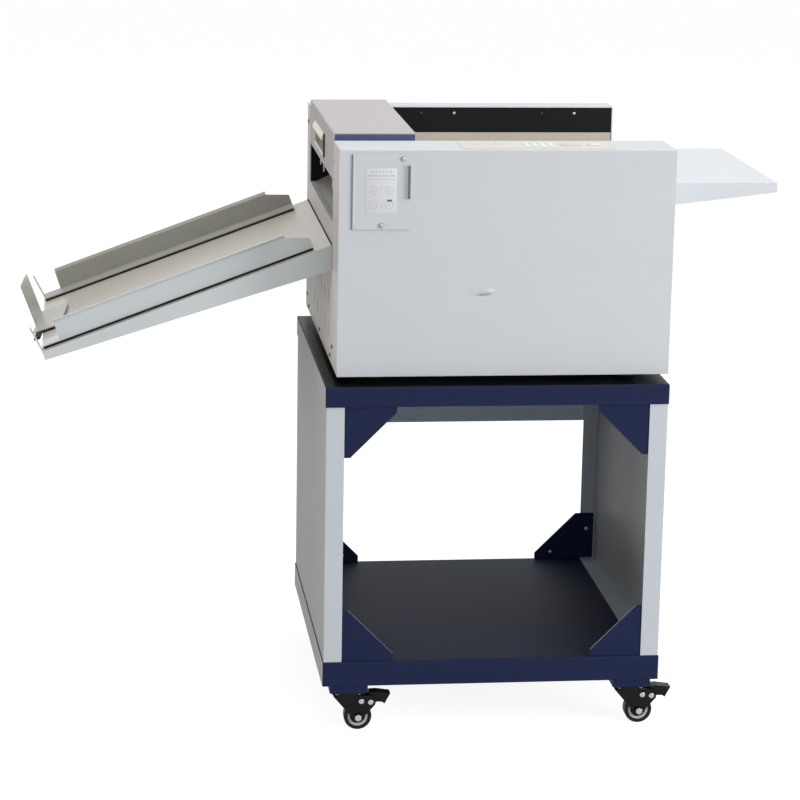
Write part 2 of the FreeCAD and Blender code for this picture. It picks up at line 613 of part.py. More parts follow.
def frame_rods():
    """Make the tie rods between the frame plates, and the hood's hinge rod on its ears."""
    body = new_body("frame_rods", MACHINE)
    for centre in RODS:
        rod(body, "XZ", NEAR_WALL, BETWEEN, centre, "tie_d")
    rod(body, "XZ", NEAR_WALL, BETWEEN, (HINGE_X, HINGE_Z), "hinge_rod_d")
    for y in (NEAR_WALL, f"{FAR_WALL} - skin"):
        block(body, (f"{HINGE_X} - hinge_rod_d / 2", y, f"{HINGE_Z} - ear_drop"),
              ("hinge_rod_d", "skin", "ear_drop"))


# ---------------------------------------------------------------- hood
HOOD_Y = f"({NEAR_WALL} + hood_gap)"
HOOD_D = f"({BETWEEN} - 2 * hood_gap)"
HOOD_TOP = "(machine_tall + hood_rise)"
CUP_W = "(handle_w - 2 * handle_rim)"
CUP_TALL = "(handle_tall - 2 * handle_rim)"


def hood_cover():
    """Make the L-shaped hood over the creasing head, with the pull's window."""
    body = new_body("hood_cover", MACHINE)
    outline = [("0", "exit_high"), ("0", HOOD_TOP), ("hood_w", HOOD_TOP),
               ("hood_w", f"{HOOD_TOP} - hood_fall"),
               ("hood_w - skin", f"{HOOD_TOP} - hood_fall"),
               ("hood_w - skin", f"{HOOD_TOP} - skin"), ("skin", f"{HOOD_TOP} - skin"),
               ("skin", "exit_high")]
    extrude(body, "XZ", HOOD_Y, HOOD_D, [outline])
    extrude(body, "YZ", "0", "skin",
            [rectangle(f"handle_y - {CUP_W} / 2", f"handle_z - {CUP_TALL} / 2", CUP_W,
                       CUP_TALL)], cut=True)
    fillet_edges(body, "bend", lambda e, box: runs_along(e, (0, 1, 0))
                 and near(e.BoundBox.ZMin, box.ZMax))


def hood_ends():
    """Make the two dark end plates, each with a lug that is bored for the hinge rod."""
    body = new_body("hood_ends", MACHINE)
    low = f"({HOOD_TOP} - skin - hood_end_tall)"
    lug_low = f"({HINGE_Z} - lug_drop)"
    lug = rectangle(f"{HINGE_X} - lug_half", lug_low,
                    f"hood_w - skin - ({HINGE_X} - lug_half)", f"{low} - {lug_low}")
    for y in (HOOD_Y, f"{HOOD_Y} + {HOOD_D} - skin"):
        extrude(body, "XZ", y, "skin",
                [rectangle("skin", low, "hood_w - 2 * skin", "hood_end_tall")])
        extrude(body, "XZ", y, "skin", [lug])
        rod(body, "XZ", y, "skin", (HINGE_X, HINGE_Z), "hinge_rod_d + 2 * running", cut=True)


def hood_handle():
    """Make the flush pull: a rim around a cup let into the hood's front wall."""
    body = new_body("hood_handle", MACHINE)
    extrude(body, "YZ", "-skin", "skin", [rectangle(
        "handle_y - handle_w / 2", "handle_z - handle_tall / 2", "handle_w", "handle_tall")])
    extrude(body, "YZ", "0", "handle_deep", [rectangle(
        f"handle_y - {CUP_W} / 2", f"handle_z - {CUP_TALL} / 2", CUP_W, CUP_TALL)])
    extrude(body, "YZ", "-skin", "handle_deep", [rectangle(
        f"handle_y - {CUP_W} / 2 + skin", f"handle_z - {CUP_TALL} / 2 + skin",
        f"{CUP_W} - 2 * skin", f"{CUP_TALL} - 2 * skin")], cut=True)


# ---------------------------------------------------------------- moving shafts
PULLEY_FRONT = "(pulley_y - shaft_nose)"
SHAFT_END = f"({FAR_WALL} + frame_t + shaft_tail)"


def pulley(body, centre):
    """Add a toothless belt pulley with two rims to a shaft."""
    rod(body, "XZ", "pulley_y", "pulley_w", centre, "pulley_d")
    for y in ("pulley_y - pulley_rim_t", "pulley_y + pulley_w"):
        rod(body, "XZ", y, "pulley_rim_t", centre, "pulley_rim_d")


def feed_roller():
    """Make the feed shaft with its pulley and two rubber tyres."""
    body = new_body("feed_roller", MACHINE)
    centre = ("feed_x", "feed_z")
    rod(body, "XZ", PULLEY_FRONT, f"{SHAFT_END} - {PULLEY_FRONT}", centre, "feed_shaft_d")
    pulley(body, centre)
    for y in (f"{PATH_Y} - tyre_w + tyre_gap", f"{PATH_Y} + tyre_gap"):
        rod(body, "XZ", y, "tyre_w - 2 * tyre_gap", centre, "feed_d")


# Where the four exit rollers start, in shares of the width between the frames.
EXIT_STATIONS = ("0.02", "0.28", "0.64", "0.9")
GEAR_Y = f"({FAR_WALL} + frame_t + gear_gap)"
# Root and tip of a tooth in modules from the pitch circle, and its flanks in pitches.
GEAR_ROOT, GEAR_TIP = "-1.1", "0.85"
TOOTH = ((GEAR_ROOT, -0.27), (GEAR_TIP, -0.11), (GEAR_TIP, 0.11), (GEAR_ROOT, 0.27))


def spur_gear(body, centre_x, centre_z, phase):
    """Add a straight-cut gear; its pitch circle touches that of the other exit shaft."""
    teeth = SIZES["gear_teeth"]
    module = f"(2 * {EXIT_SPREAD} / gear_teeth)"
    corners = []
    for tooth in range(teeth):
        for rise, share in TOOTH:
            radius = f"({EXIT_SPREAD} + {rise} * {module})"
            angle = round(360 * (tooth + phase + share) / teeth, 6)
            corners.append((f"{centre_x} + {radius} * cos({angle})",
                            f"{centre_z} + {radius} * sin({angle})"))
    extrude(body, "XZ", GEAR_Y, "gear_w", [corners])


def exit_roller(name, centre_z, driven, phase):
    """Make an exit shaft with four rollers and its gear; the driven one has the pulley."""
    body = new_body(name, MACHINE)
    centre = ("exit_x", centre_z)
    start = PULLEY_FRONT if driven else f"({NEAR_WALL} - frame_t - bush_flange * 2)"
    rod(body, "XZ", start, f"{GEAR_Y} + gear_w + bush_flange - {start}", centre,
        "exit_shaft_d")
    if driven:
        pulley(body, centre)
    for share in EXIT_STATIONS:
        rod(body, "XZ", f"{NEAR_WALL} + {share} * {BETWEEN}", "exit_tyre_w", centre,
            "exit_roller_d")
    spur_gear(body, "exit_x", centre_z, phase)


def motor_pulley():
    """Make the main motor's shaft and pulley."""
    body = new_body("motor_pulley", MACHINE)
    centre = ("motor_x", "motor_z")
    end = f"({NEAR_WALL} + motor_boss / 2)"
    rod(body, "XZ", PULLEY_FRONT, f"{end} - {PULLEY_FRONT}", centre, "feed_shaft_d")
    pulley(body, centre)


def drive_belt():
    """Make the belt around the three pulleys: the hull of three circles, hollowed."""
    feature = DOCUMENT.addObject("Part::Feature", "drive_belt")
    feature.Label = "drive_belt"
    centres = [("exit_x", EXIT_LOW), ("motor_x", "motor_z"), ("feed_x", "feed_z")]
    spots = [FreeCAD.Vector(number(x), 0, number(z)) for x, z in centres]
    loop = Part.makePolygon(spots + spots[:1])
    wide = FreeCAD.Vector(0, number("pulley_w - 2 * seat_gap"), 0)
    inside = number("pulley_d / 2 + seat_gap")
    outside = inside + number("belt_t")
    outer, inner = (Part.Face(loop.makeOffset2D(reach)).extrude(wide)
                    for reach in (outside, inside))
    feature.Shape = outer.cut(inner)
    x, y, z = MACHINE
    place(feature, (x, f"{y} + pulley_y + seat_gap", z))
    SUB_PARTS["drive_belt"] = feature


def drive_motors():
    """Make the main motor between the frames and the crease gearmotor in the near box."""
    body = new_body("drive_motors", MACHINE)
    centre = ("motor_x", "motor_z")
    rod(body, "XZ", NEAR_WALL, "motor_len", centre, "motor_d")
    rod(body, "XZ", NEAR_WALL, "motor_boss", centre, "motor_boss_d", cut=True)
    crease = (ROCK_X, "rock_z")
    flange_y = "(gearmotor_y + gearmotor_len)"
    rod(body, "XZ", "gearmotor_y", "gearmotor_len", crease, "gearmotor_d")
    block(body, (f"{ROCK_X} - flange_in", flange_y, "rock_z - flange_tall / 2"),
          ("flange_w", "flange_t", "flange_tall"))
    rod(body, "XZ", f"{flange_y} - shaft_in - seat_gap", "shaft_pocket", crease,
        "rock_shaft_d + 2 * running", cut=True)
    for z in ("rock_z - post_z", "rock_z + post_z"):
        rod(body, "XZ", flange_y, f"{NEAR_WALL} - frame_t - {flange_y}",
            (f"{ROCK_X} + post_x", z), "post_d")


def electronics():
    """Make the power supply on the floor plate and the control board on its posts."""
    body = new_body("electronics", MACHINE)
    block(body, ("supply_x", "supply_y", "base_t"), ("supply_w", "supply_d", "supply_tall"))
    post_y = f"({NEAR_WALL} - frame_t - board_post)"
    block(body, ("board_x", f"{post_y} - board_t", "board_z"),
          ("board_w", "board_t", "board_tall"))
    for x in ("board_x + board_edge", "board_x + board_w - board_edge"):
        for z in ("board_z + board_edge", "board_z + board_tall - board_edge"):
            rod(body, "XZ", post_y, "board_post", (x, z), "post_d")


# ---------------------------------------------------------------- creasing head
BEAM_LEFT, BEAM_RIGHT = "(crease_x - beam_w / 2)", "(crease_x + beam_w / 2)"


def crease_die():
    """Make the grooved lower die, held between the frame plates."""
    body = new_body("crease_die", MACHINE)
    top = "(bed_z - die_gap)"
    low = f"({top} - die_tall)"
    left, right = "(crease_x - die_w / 2)", "(crease_x + die_w / 2)"
    lip_l, lip_r = "(crease_x - groove_w / 2)", "(crease_x + groove_w / 2)"
    outline = [(left, low), (right, low), (right, f"{top} - die_edge"),
               (f"{right} - die_edge", top), (lip_r, top), (lip_r, f"{top} - groove_deep"),
               (lip_l, f"{top} - groove_deep"), (lip_l, top), (f"{left} + die_edge", top),
               (left, f"{top} - die_edge")]
    extrude(body, "XZ", NEAR_WALL, BETWEEN, [outline])


BEAM_Y = f"({NEAR_WALL} - frame_t - beam_over)"
BEAM_D = f"({BETWEEN} + 2 * frame_t + 2 * beam_over)"


def crease_beam():
    """Make the sliding beam with its creasing blade and the slots for the arm pins."""
    body = new_body("crease_beam", MACHINE)
    thin_l, thin_r = "(crease_x - blade_t / 2)", "(crease_x + blade_t / 2)"
    outline = [(BEAM_LEFT, "beam_z + beam_nose"), (f"{BEAM_LEFT} + 2 * beam_nose", "beam_z"),
               (thin_l, "beam_z"), (thin_l, "beam_z - blade_tall"),
               (thin_r, "beam_z - blade_tall"), (thin_r, "beam_z"),
               (f"{BEAM_RIGHT} - 2 * beam_nose", "beam_z"),
               (BEAM_RIGHT, "beam_z + beam_nose"), (BEAM_RIGHT, "beam_z + beam_tall"),
               (BEAM_LEFT, "beam_z + beam_tall")]
    extrude(body, "XZ", BEAM_Y, BEAM_D, [outline])
    slot = rectangle(BEAM_LEFT, "rock_z - arm_pin_d / 2 - seat_gap", "beam_w",
                     "arm_pin_d + 2 * seat_gap")
    for y in (BEAM_Y, f"{BEAM_Y} + {BEAM_D} - pin_reach - seat_gap"):
        extrude(body, "XZ", y, "pin_reach + seat_gap", [slot], cut=True)


def crease_shaft():
    """Make the rocking shaft with an arm and a pin at each end of the beam."""
    body = new_body("crease_shaft", MACHINE)
    centre = (ROCK_X, "rock_z")
    arm_near = f"({BEAM_Y} - seat_gap - arm_t)"
    arm_far = f"({BEAM_Y} + {BEAM_D} + seat_gap)"
    start = "(gearmotor_y + gearmotor_len - shaft_in)"
    rod(body, "XZ", start, f"{arm_far} + arm_t - {start}", centre, "rock_shaft_d")
    tip_x, root_x = "(crease_x - arm_nose)", f"({ROCK_X} + arm_tip / 2)"
    arm = [(tip_x, "rock_z - arm_tip / 2"), (root_x, "rock_z - arm_root / 2"),
           (f"{ROCK_X} + arm_tip", "rock_z"), (root_x, "rock_z + arm_root / 2"),
           (tip_x, "rock_z + arm_tip / 2")]
    for y in (arm_near, arm_far):
        extrude(body, "XZ", y, "arm_t", [arm])
    for y in (f"{arm_near} + arm_t", f"{arm_far} - pin_reach + seat_gap"):
        rod(body, "XZ", y, "pin_reach - seat_gap", ("crease_x", "rock_z"), "arm_pin_d")


# ---------------------------------------------------------------- in-feed side
def infeed_guide(name, wall_y, foot_y):
    """Make a side guide: an upright wall folded from a flat foot."""
    body = new_body(name, MACHINE)
    left = "(hood_w + guide_start)"
    wide = f"(machine_w - guide_end - {left})"
    low = "(bed_z + seat_gap)"
    block(body, (left, wall_y, low), (wide, "skin", "guide_tall - seat_gap"))
    block(body, (left, foot_y, low), (wide, "guide_foot", "skin"))


def infeed_table():
    """Make the in-feed table: a top with tapered side lips, a mounting lip and spacers."""
    body = new_body("infeed_table", MACHINE)
    left = "(machine_w + tray_gap)"
    side = [(left, "bed_z"), ("infeed_reach", "bed_z"), ("infeed_reach", "bed_z - table_lip"),
            (f"{left} + table_flat", "bed_z - table_root"), (left, "bed_z - table_root")]
    extrude(body, "XZ", "table_y", "table_d", [side])
    hollow = [(f"{left} + skin", "bed_z - skin"), ("infeed_reach - skin", "bed_z - skin"),
              ("infeed_reach - skin", "bed_z - table_root"),
              (f"{left} + skin", "bed_z - table_root")]
    extrude(body, "XZ", "table_y + skin", "table_d - 2 * skin", [hollow], cut=True)
    for y in ("table_y + table_spacer_y", "table_y + table_d - table_spacer_y - spacer_w"):
        block(body, ("machine_w", y, "bed_z - table_root + table_spacer_z"),
              ("tray_gap", "spacer_w", "spacer_tall"))


# ---------------------------------------------------------------- delivery tray
# Tray frame: x runs up the slope to the machine, z stands on the tray's surface.
COS, SIN = "cos(tray_slope)", "sin(tray_slope)"


def on_face(drop, out):
    """Give the tray-frame point that lies a drop below the joint, out from the face."""
    return (f"-({out}) * {COS} - ({drop}) * {SIN}", f"({out}) * {SIN} - ({drop}) * {COS}")


def delivery_tray():
    """Make the tray: top, tapered side lips, end lip, mounting lip and corner tabs."""
    body = new_body("delivery_tray", TRAY, TRAY_TURN)
    top_right = (f"-(tray_gap) / {COS}", "0")
    foot = on_face(f"tray_root / {COS}", "tray_gap")
    side = [("-tray_len", "0"), top_right, foot, ("-tray_len", "-tray_lip")]
    extrude(body, "XZ", "tray_y", "tray_w", [side])
    inner_top = (f"-(tray_gap + skin) / {COS} - skin * {SIN} / {COS}", "-skin")
    inner_foot = on_face(f"tray_root / {COS} + 2 * skin", "tray_gap + skin")
    hollow = [("-tray_len + skin", "-skin"), inner_top, inner_foot,
              ("-tray_len + skin", "-tray_root")]
    extrude(body, "XZ", "tray_y + skin", "tray_w - 2 * skin", [hollow], cut=True)
    tab = [("-tray_len", "-skin"), ("-tray_len + skin", "-skin"),
           ("-tray_len + skin - tab_lean", "tab_tall"), ("-tray_len - tab_lean", "tab_tall")]
    for y in ("tray_y", "tray_y + tray_w - tab_w"):
        extrude(body, "XZ", y, "tab_w", [tab])
    high, low = "tray_root / 2 - spacer_tall / 2", "tray_root / 2 + spacer_tall / 2"
    spacer = [on_face(high, "0"), on_face(low, "0"), on_face(low, "tray_gap"),
              on_face(high, "tray_gap")]
    for y in ("tray_y + tray_spacer_y", "tray_y + tray_w - tray_spacer_y - spacer_w"):
        extrude(body, "XZ", y, "spacer_w", [spacer])


SIDE_START = "(side_start - tray_len)"
SIDE_LEN = "(tray_len - side_short)"


def tray_guide(side):
    """Make a sheet guide and its magnetic strip.

    The guide has a foot, a wall cut back at the outer end and a flared lip.
    """
    body = new_body(f"tray_guide_{side}", TRAY, TRAY_TURN)
    if side == "near":
        wall, sign = "(tray_y + side_set_y)", 1
    else:
        wall, sign = "(tray_y + tray_w - side_set_y / 2)", -1
    low = "magnet_t"
    section = [(wall, low), (f"{wall} + {sign} * side_foot", low),
               (f"{wall} + {sign} * side_foot", f"{low} + skin"),
               (f"{wall} + {sign} * skin", f"{low} + skin"),
               (f"{wall} + {sign} * skin", "side_tall"),
               (f"{wall} - {sign} * (side_lip - skin)", "side_tall + side_lip"),
               (f"{wall} - {sign} * side_lip", "side_tall + side_lip - skin / 2"),
               (wall, "side_tall - skin / 2")]
    extrude(body, "YZ", SIDE_START, SIDE_LEN, [section])
    high = "side_tall + 2 * side_lip"
    start = f"({SIDE_START} + side_back)"
    end = f"({SIDE_START} + {SIDE_LEN})"
    back = [(f"{SIDE_START} - skin", f"{low} + skin"), (start, f"{low} + skin"),
            (f"{start} + skin", high), (f"{SIDE_START} - skin", high)]
    slope = [(f"{end} - side_cut", "side_tall - skin / 2"),
             (end, "side_tall - side_cut_drop"), (f"{end} + skin", "side_tall - side_cut_drop"),
             (f"{end} + skin", high), (f"{end} - side_cut", high)]
    low_y = f"({wall} - side_foot - side_lip)"
    extrude(body, "XZ", low_y, "2 * side_foot + 2 * side_lip", [back, slope], cut=True)

    strip = new_body(f"tray_magnet_{side}", TRAY, TRAY_TURN)
    flat_y = wall if sign > 0 else f"({wall} - side_foot)"
    block(strip, (f"{SIDE_START} + magnet_in", flat_y, "0"),
          (f"{SIDE_LEN} - 2 * magnet_in", "magnet_w", "magnet_t"))


def on_stop(out, along, wide, deep):
    """Give the corners of a rectangle that is turned on the tray with the end stop.

    Out runs from the stop's outer face, and along from the middle of its foot.
    """
    turn_cos, turn_sin = "cos(stop_turn)", "sin(stop_turn)"
    return [(f"({u}) * {turn_cos} + ({v}) * {turn_sin} - {STOP_OUT}",
             f"({v}) * {turn_cos} - ({u}) * {turn_sin} + stop_y")
            for u, v in rectangle(out, along, wide, deep)]


def end_stop():
    """Make the end stop: an upright plate folded from a flat foot, and its magnet."""
    body = new_body("end_stop", TRAY, TRAY_TURN)
    extrude(body, "XY", "magnet_t", "stop_tall - magnet_t",
            [on_stop("0", "stop_shift - stop_w / 2", "skin", "stop_w")])
    extrude(body, "XY", "magnet_t", "skin",
            [on_stop("0", "-stop_foot_w / 2", "stop_foot", "stop_foot_w")])
    fillet_edges(body, STOP_R, lambda e, box: near(e.Length, number("skin"))
                 and near(e.BoundBox.ZMin, box.ZMax))
    magnet = new_body("end_stop_magnet", TRAY, TRAY_TURN)
    extrude(magnet, "XY", "0", "magnet_t",
            [on_stop("stop_magnet_x", "-stop_foot_w / 2",
                     "stop_foot - stop_magnet_x - skin", "stop_foot_w")])
    extrude(magnet, "XY", "0", "magnet_t",
            [on_stop("stop_block_x", "-stop_foot_w / 2 - stop_magnet_out",
                     "stop_magnet_x - stop_block_x", "stop_magnet_w")])


# ---------------------------------------------------------------- door, trim, inlet
DOOR_AXIS = ("door_x + door_pin_in", "-door_pin_in")


def access_door():
    """Make the tool door: a raised plate with a rolled hinge edge and a finger lip."""
    body = new_body("access_door", MACHINE)
    x, y = DOOR_AXIS
    low = "(door_z + knuckle_len + seat_gap)"
    tall = "(door_tall - 2 * knuckle_len - 2 * seat_gap)"
    plate_x = f"({x} + knuckle_d / 2 + seat_gap)"
    right = "(door_x + door_w)"
    extrude(body, "XZ", "-door_stand", "skin",
            [rectangle(plate_x, "door_z", f"{right} - {plate_x}", "door_tall")])
    block(body, (x, "-door_stand", low), ("knuckle_d / 2 + 2 * seat_gap", "skin", tall))
    rod(body, "XY", low, tall, (x, y), "knuckle_d")
    rod(body, "XY", low, tall, (x, y), "hinge_pin_d + 2 * running", cut=True)
    lip = [(f"{right} - door_lip_run", "-door_stand + skin / 2"),
           (f"{right} - door_lip_run + skin", "-door_stand + skin / 2"),
           (f"{right} + seat_gap", "-door_stand - door_lip_out"),
           (f"{right} + seat_gap - skin", "-door_stand - door_lip_out")]
    extrude(body, "XY", "door_z + door_tall - door_lip_down - door_lip_tall",
            "door_lip_tall", [lip])
    for centre in DOOR_SCREWS:
        rod(body, "XZ", "-door_stand", "skin", centre, "screw_d + screw_play", cut=True)


def door_screws():
    """Make the door's two captive screws."""
    body = new_body("door_screws", MACHINE)
    for centre in DOOR_SCREWS:
        rod(body, "XZ", "-door_stand - screw_head_t", "screw_head_t", centre, "screw_head_d")
        rod(body, "XZ", "-door_stand", "door_stand + skin + base_t / 2", centre, "screw_d")


def door_hinge():
    """Make the door's fixed knuckles and pin, welded to the casing's face."""
    body = new_body("door_hinge", MACHINE)
    x, y = DOOR_AXIS
    for z in ("door_z", "door_z + door_tall - knuckle_len"):
        rod(body, "XY", z, "knuckle_len", (x, y), "knuckle_d")
        block(body, (f"{x} - knuckle_d / 2", y, z), ("knuckle_d", f"-({y})", "knuckle_len"))
    rod(body, "XY", "door_z", "door_tall", (x, y), "hinge_pin_d")


def control_panel():
    """Make the control overlay on top of the near box."""
    body = new_body("control_panel", MACHINE)
    block(body, ("panel_x", "panel_y", "machine_tall"), ("panel_w", "panel_d", "panel_t"))
    fillet_edges(body, "2 * bend", lambda e, box: runs_along(e, (0, 0, 1)))


# Screw centres on the delivery side, y and z, and on the far wall, x and z.
FACE_SCREWS = (("605", "29"), ("605", "368"), ("89", "35"), ("89", "368"),
               ("340", "13"), ("571", "10"), ("126", "12"))
WALL_SCREWS = (("278", "387"), ("513", "387"))


def case_screws():
    """Make the pan-head screws of the casing and of the stand's rear gussets."""
    body = new_body("case_screws", MACHINE)
    extrude(body, "YZ", "-cap_t", "cap_t", circles=[(at, "cap_d") for at in FACE_SCREWS])
    extrude(body, "XZ", f"{FAR_WALL} - cap_t", "cap_t",
            circles=[(at, "cap_d") for at in WALL_SCREWS])
    middle = "(stand_w / 2 - inset_x)"
    rear = "(stand_d - inset_y - 2 * steel - gusset_t)"
    shelf_z = "(-foot_tall - stand_tall + stand_shelf_tall + steel)"
    for side in (-1, 1):
        upper = (f"{middle} + {side} * ({POST_INNER} + gusset_cap_in)",
                 f"{shelf_z} + gusset_cap_out")
        lower = (f"{middle} + {side} * ({POST_INNER} - gusset_cap_out)",
                 f"{shelf_z} + gusset_cap_in")
        extrude(body, "XZ", f"{rear} - cap_t", "cap_t",
                circles=[(upper, "cap_d"), (lower, "cap_d")])


ROCKER_Z = "(inlet_z + inlet_tall / 2)"
ROCKER_AXIS = ("machine_d - rocker_out", ROCKER_Z)
ROCKER_W = "(well_w - rocker_out / 2)"


def power_inlet():
    """Make the rear module: a flange, a body, the inlet's socket and the rocker's well."""
    body = new_body("power_inlet", MACHINE)
    extrude(body, "XZ", "machine_d", "skin",
            [rectangle("inlet_x - inlet_rim_x", "inlet_z - inlet_rim_z",
                       "inlet_w + 2 * inlet_rim_x", "inlet_tall + 2 * inlet_rim_z")])
    extrude(body, "XZ", "machine_d - inlet_deep", "inlet_deep",
            [rectangle("inlet_x + seat_gap", "inlet_z + seat_gap",
                       "inlet_w - 2 * seat_gap", "inlet_tall - 2 * seat_gap")])
    socket = rectangle("inlet_x + socket_x", "inlet_z + socket_z", "socket_w", "socket_tall")
    extrude(body, "XZ", "machine_d - socket_deep", "socket_deep + skin", [socket], cut=True)
    well = rectangle("inlet_x + well_x", "inlet_z + well_z", "well_w", "well_tall")
    extrude(body, "XZ", "machine_d - well_deep", "well_deep + skin", [well], cut=True)
    rod(body, "YZ", "inlet_x + well_x - stub", "well_w + 2 * stub", ROCKER_AXIS,
        "rocker_pivot_d + 2 * running", cut=True)
    for step in (0, 1, 2):
        block(body, (f"inlet_x + blade_x + {step} * blade_pitch",
                     "machine_d - socket_deep - base_t / 3", "inlet_z + blade_z"),
              ("blade_w", "blade_out", "blade_h"))


def rocker_switch():
    """Make the rocker, hinged on a level axis in its well."""
    body = new_body("rocker_switch", MACHINE)
    inner, outer = "machine_d - rocker_in", "machine_d + rocker_out"
    outline = [(inner, f"{ROCKER_Z} - rocker_tall / 2 + seat_gap"),
               (inner, f"{ROCKER_Z} + rocker_tall / 2 - seat_gap"),
               (outer, f"{ROCKER_Z} + rocker_tall / 2"),
               (f"{outer} - rocker_dip", ROCKER_Z),
               (outer, f"{ROCKER_Z} - rocker_tall / 2")]
    centre = "inlet_x + well_x + well_w / 2"
    extrude(body, "YZ", f"{centre} - {ROCKER_W} / 2", ROCKER_W, [outline])
    rod(body, "YZ", f"{centre} - well_w / 2 - stub + seat_gap",
        "well_w + 2 * stub - 2 * seat_gap", ROCKER_AXIS, "rocker_pivot_d")


# ---------------------------------------------------------------- whole model
def build_all():
    """Build every sub-part in the order that it is put together."""
    fill_sheet()
    pan("stand_top", "stand_top_tall", "(stand_tall - stand_top_tall)")
    stand_shelf()
    side_panel("stand_left_panel", -1)
    side_panel("stand_right_panel", 1)
    stand_back_panel()
    stand_gussets()
    for corner, (side_x, side_y) in CORNERS.items():
        at = castor_place(side_x, side_y)
        castor_fork(corner, at)
        castor_wheel(corner, at)
        if side_y < 0:
            castor_brake(corner, at)
    base_plate()
    rubber_feet()
    near_cover()
    far_cover()
    side_frame("near_side_frame", f"({NEAR_WALL} - frame_t)")
    side_frame("far_side_frame", FAR_WALL)
    bearings()
    frame_rods()
    outfeed_panel()
    infeed_panel()
    feed_bed()
    separator_pad()
    exit_chute()
    crease_die()
    crease_beam()
    crease_shaft()
    feed_roller()
    exit_roller("exit_roller_lower", EXIT_LOW, True, 0.0)
    exit_roller("exit_roller_upper", EXIT_HIGH, False, 0.5)
    motor_pulley()
    drive_belt()
    drive_motors()
    electronics()
    hood_cover()
    hood_ends()
    hood_handle()
    infeed_guide("infeed_guide_near", f"{NEAR_WALL} + skin", f"{NEAR_WALL} + skin")
    infeed_guide("infeed_guide_far", f"{FAR_WALL} - 2 * skin",
                 f"{FAR_WALL} - skin - guide_foot")
    infeed_table()
    delivery_tray()
    tray_guide("near")
    tray_guide("far")
    end_stop()
    access_door()
    door_screws()
    door_hinge()
    control_panel()
    case_screws()
    power_inlet()
    rocker_switch()
    DOCUMENT.recompute()


def check_all():
    """Stop if any feature failed, any pocket cut nothing or any sub-part isn't sound."""
    faults = []
    for thing in DOCUMENT.Objects:
        if "Invalid" in thing.State or "Error" in thing.State:
            faults.append(f"{thing.Name} failed: {thing.State}")
        elif thing.TypeId == "PartDesign::Pocket":
            if thing.Shape.Volume > thing.BaseFeature.Shape.Volume - 1e-3:
                faults.append(f"{thing.Name} cuts nothing")
    for name, thing in SUB_PARTS.items():
        if thing.Shape.isNull() or not thing.Shape.isValid():
            faults.append(f"{name} has no sound shape")
    if faults:
        raise RuntimeError("\n".join(faults))


def export_all():
    """Write one STEP file for each sub-part."""
    os.makedirs("parts", exist_ok=True)
    for name, thing in SUB_PARTS.items():
        thing.Shape.exportStep(os.path.join("parts", f"{name}.step"))


build_all()
check_all()
export_all()
WHOLE = Part.makeCompound([thing.Shape for thing in SUB_PARTS.values()]).BoundBox
print(f"{len(SUB_PARTS)} sub-parts, {WHOLE.XLength:.1f} x {WHOLE.YLength:.1f} x "
      f"{WHOLE.ZLength:.1f} mm, middle at {WHOLE.Center.x:.2f}, {WHOLE.Center.y:.2f}")
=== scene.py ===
"""Looks of the paper creasing machine: finishes for its frame, its small fittings and the studio."""

import logging
import math
from dataclasses import dataclass, field
from enum import Enum
from typing import Callable, Iterable, Sequence

import bpy
from mathutils import Matrix, Vector

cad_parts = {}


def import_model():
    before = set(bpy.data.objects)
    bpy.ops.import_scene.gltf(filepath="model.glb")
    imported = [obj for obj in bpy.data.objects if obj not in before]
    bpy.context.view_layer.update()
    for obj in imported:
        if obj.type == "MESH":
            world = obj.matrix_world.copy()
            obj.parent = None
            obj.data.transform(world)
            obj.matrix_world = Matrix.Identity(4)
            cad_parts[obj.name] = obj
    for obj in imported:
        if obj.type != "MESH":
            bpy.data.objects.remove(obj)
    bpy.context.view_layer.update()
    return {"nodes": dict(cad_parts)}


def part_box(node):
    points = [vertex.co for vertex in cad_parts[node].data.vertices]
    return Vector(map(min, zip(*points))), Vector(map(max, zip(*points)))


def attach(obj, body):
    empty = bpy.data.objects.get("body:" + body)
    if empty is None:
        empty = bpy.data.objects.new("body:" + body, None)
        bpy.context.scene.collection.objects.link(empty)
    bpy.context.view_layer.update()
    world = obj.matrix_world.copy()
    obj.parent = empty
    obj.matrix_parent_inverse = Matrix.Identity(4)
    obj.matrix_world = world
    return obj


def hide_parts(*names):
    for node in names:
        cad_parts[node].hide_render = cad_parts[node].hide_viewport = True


LOG = logging.getLogger("creasing_machine")
MM = 0.001
Point = tuple[float, float, float]
Pair = tuple[float, float]
Pairs = tuple[Pair, ...]
Row = tuple[float, ...]
# The least share of a face's normal along an axis with which it faces that axis, or slopes to it.
FACING = 0.9
SLOPING = 0.3
# Edges up to this many degrees are shaded smooth on what is not bevelled.
SMOOTH_DEG = 35.0
# The colour inputs and the colour output of a Mix node, which go by number.
MIX_A = 6
MIX_B = 7
MIX_RESULT = 2
# How far a finish's grain moves its roughness either way.
GLOSS_SPREAD = 0.05


# ---------------------------------------------------------------- colours and nodes
def linear(hex_colour: str) -> tuple[float, float, float, float]:
    """Turn an sRGB hex colour into the linear values that a shader takes.

    Args:
        hex_colour: Six hex digits after a hash sign.

    Returns:
        Red, green, blue and a full alpha.
    """
    values = []
    for start in (1, 3, 5):
        share = int(hex_colour[start:start + 2], 16) / 255
        values.append(share / 12.92 if share <= 0.04045 else ((share + 0.055) / 1.055) ** 2.4)
    return (*values, 1.0)


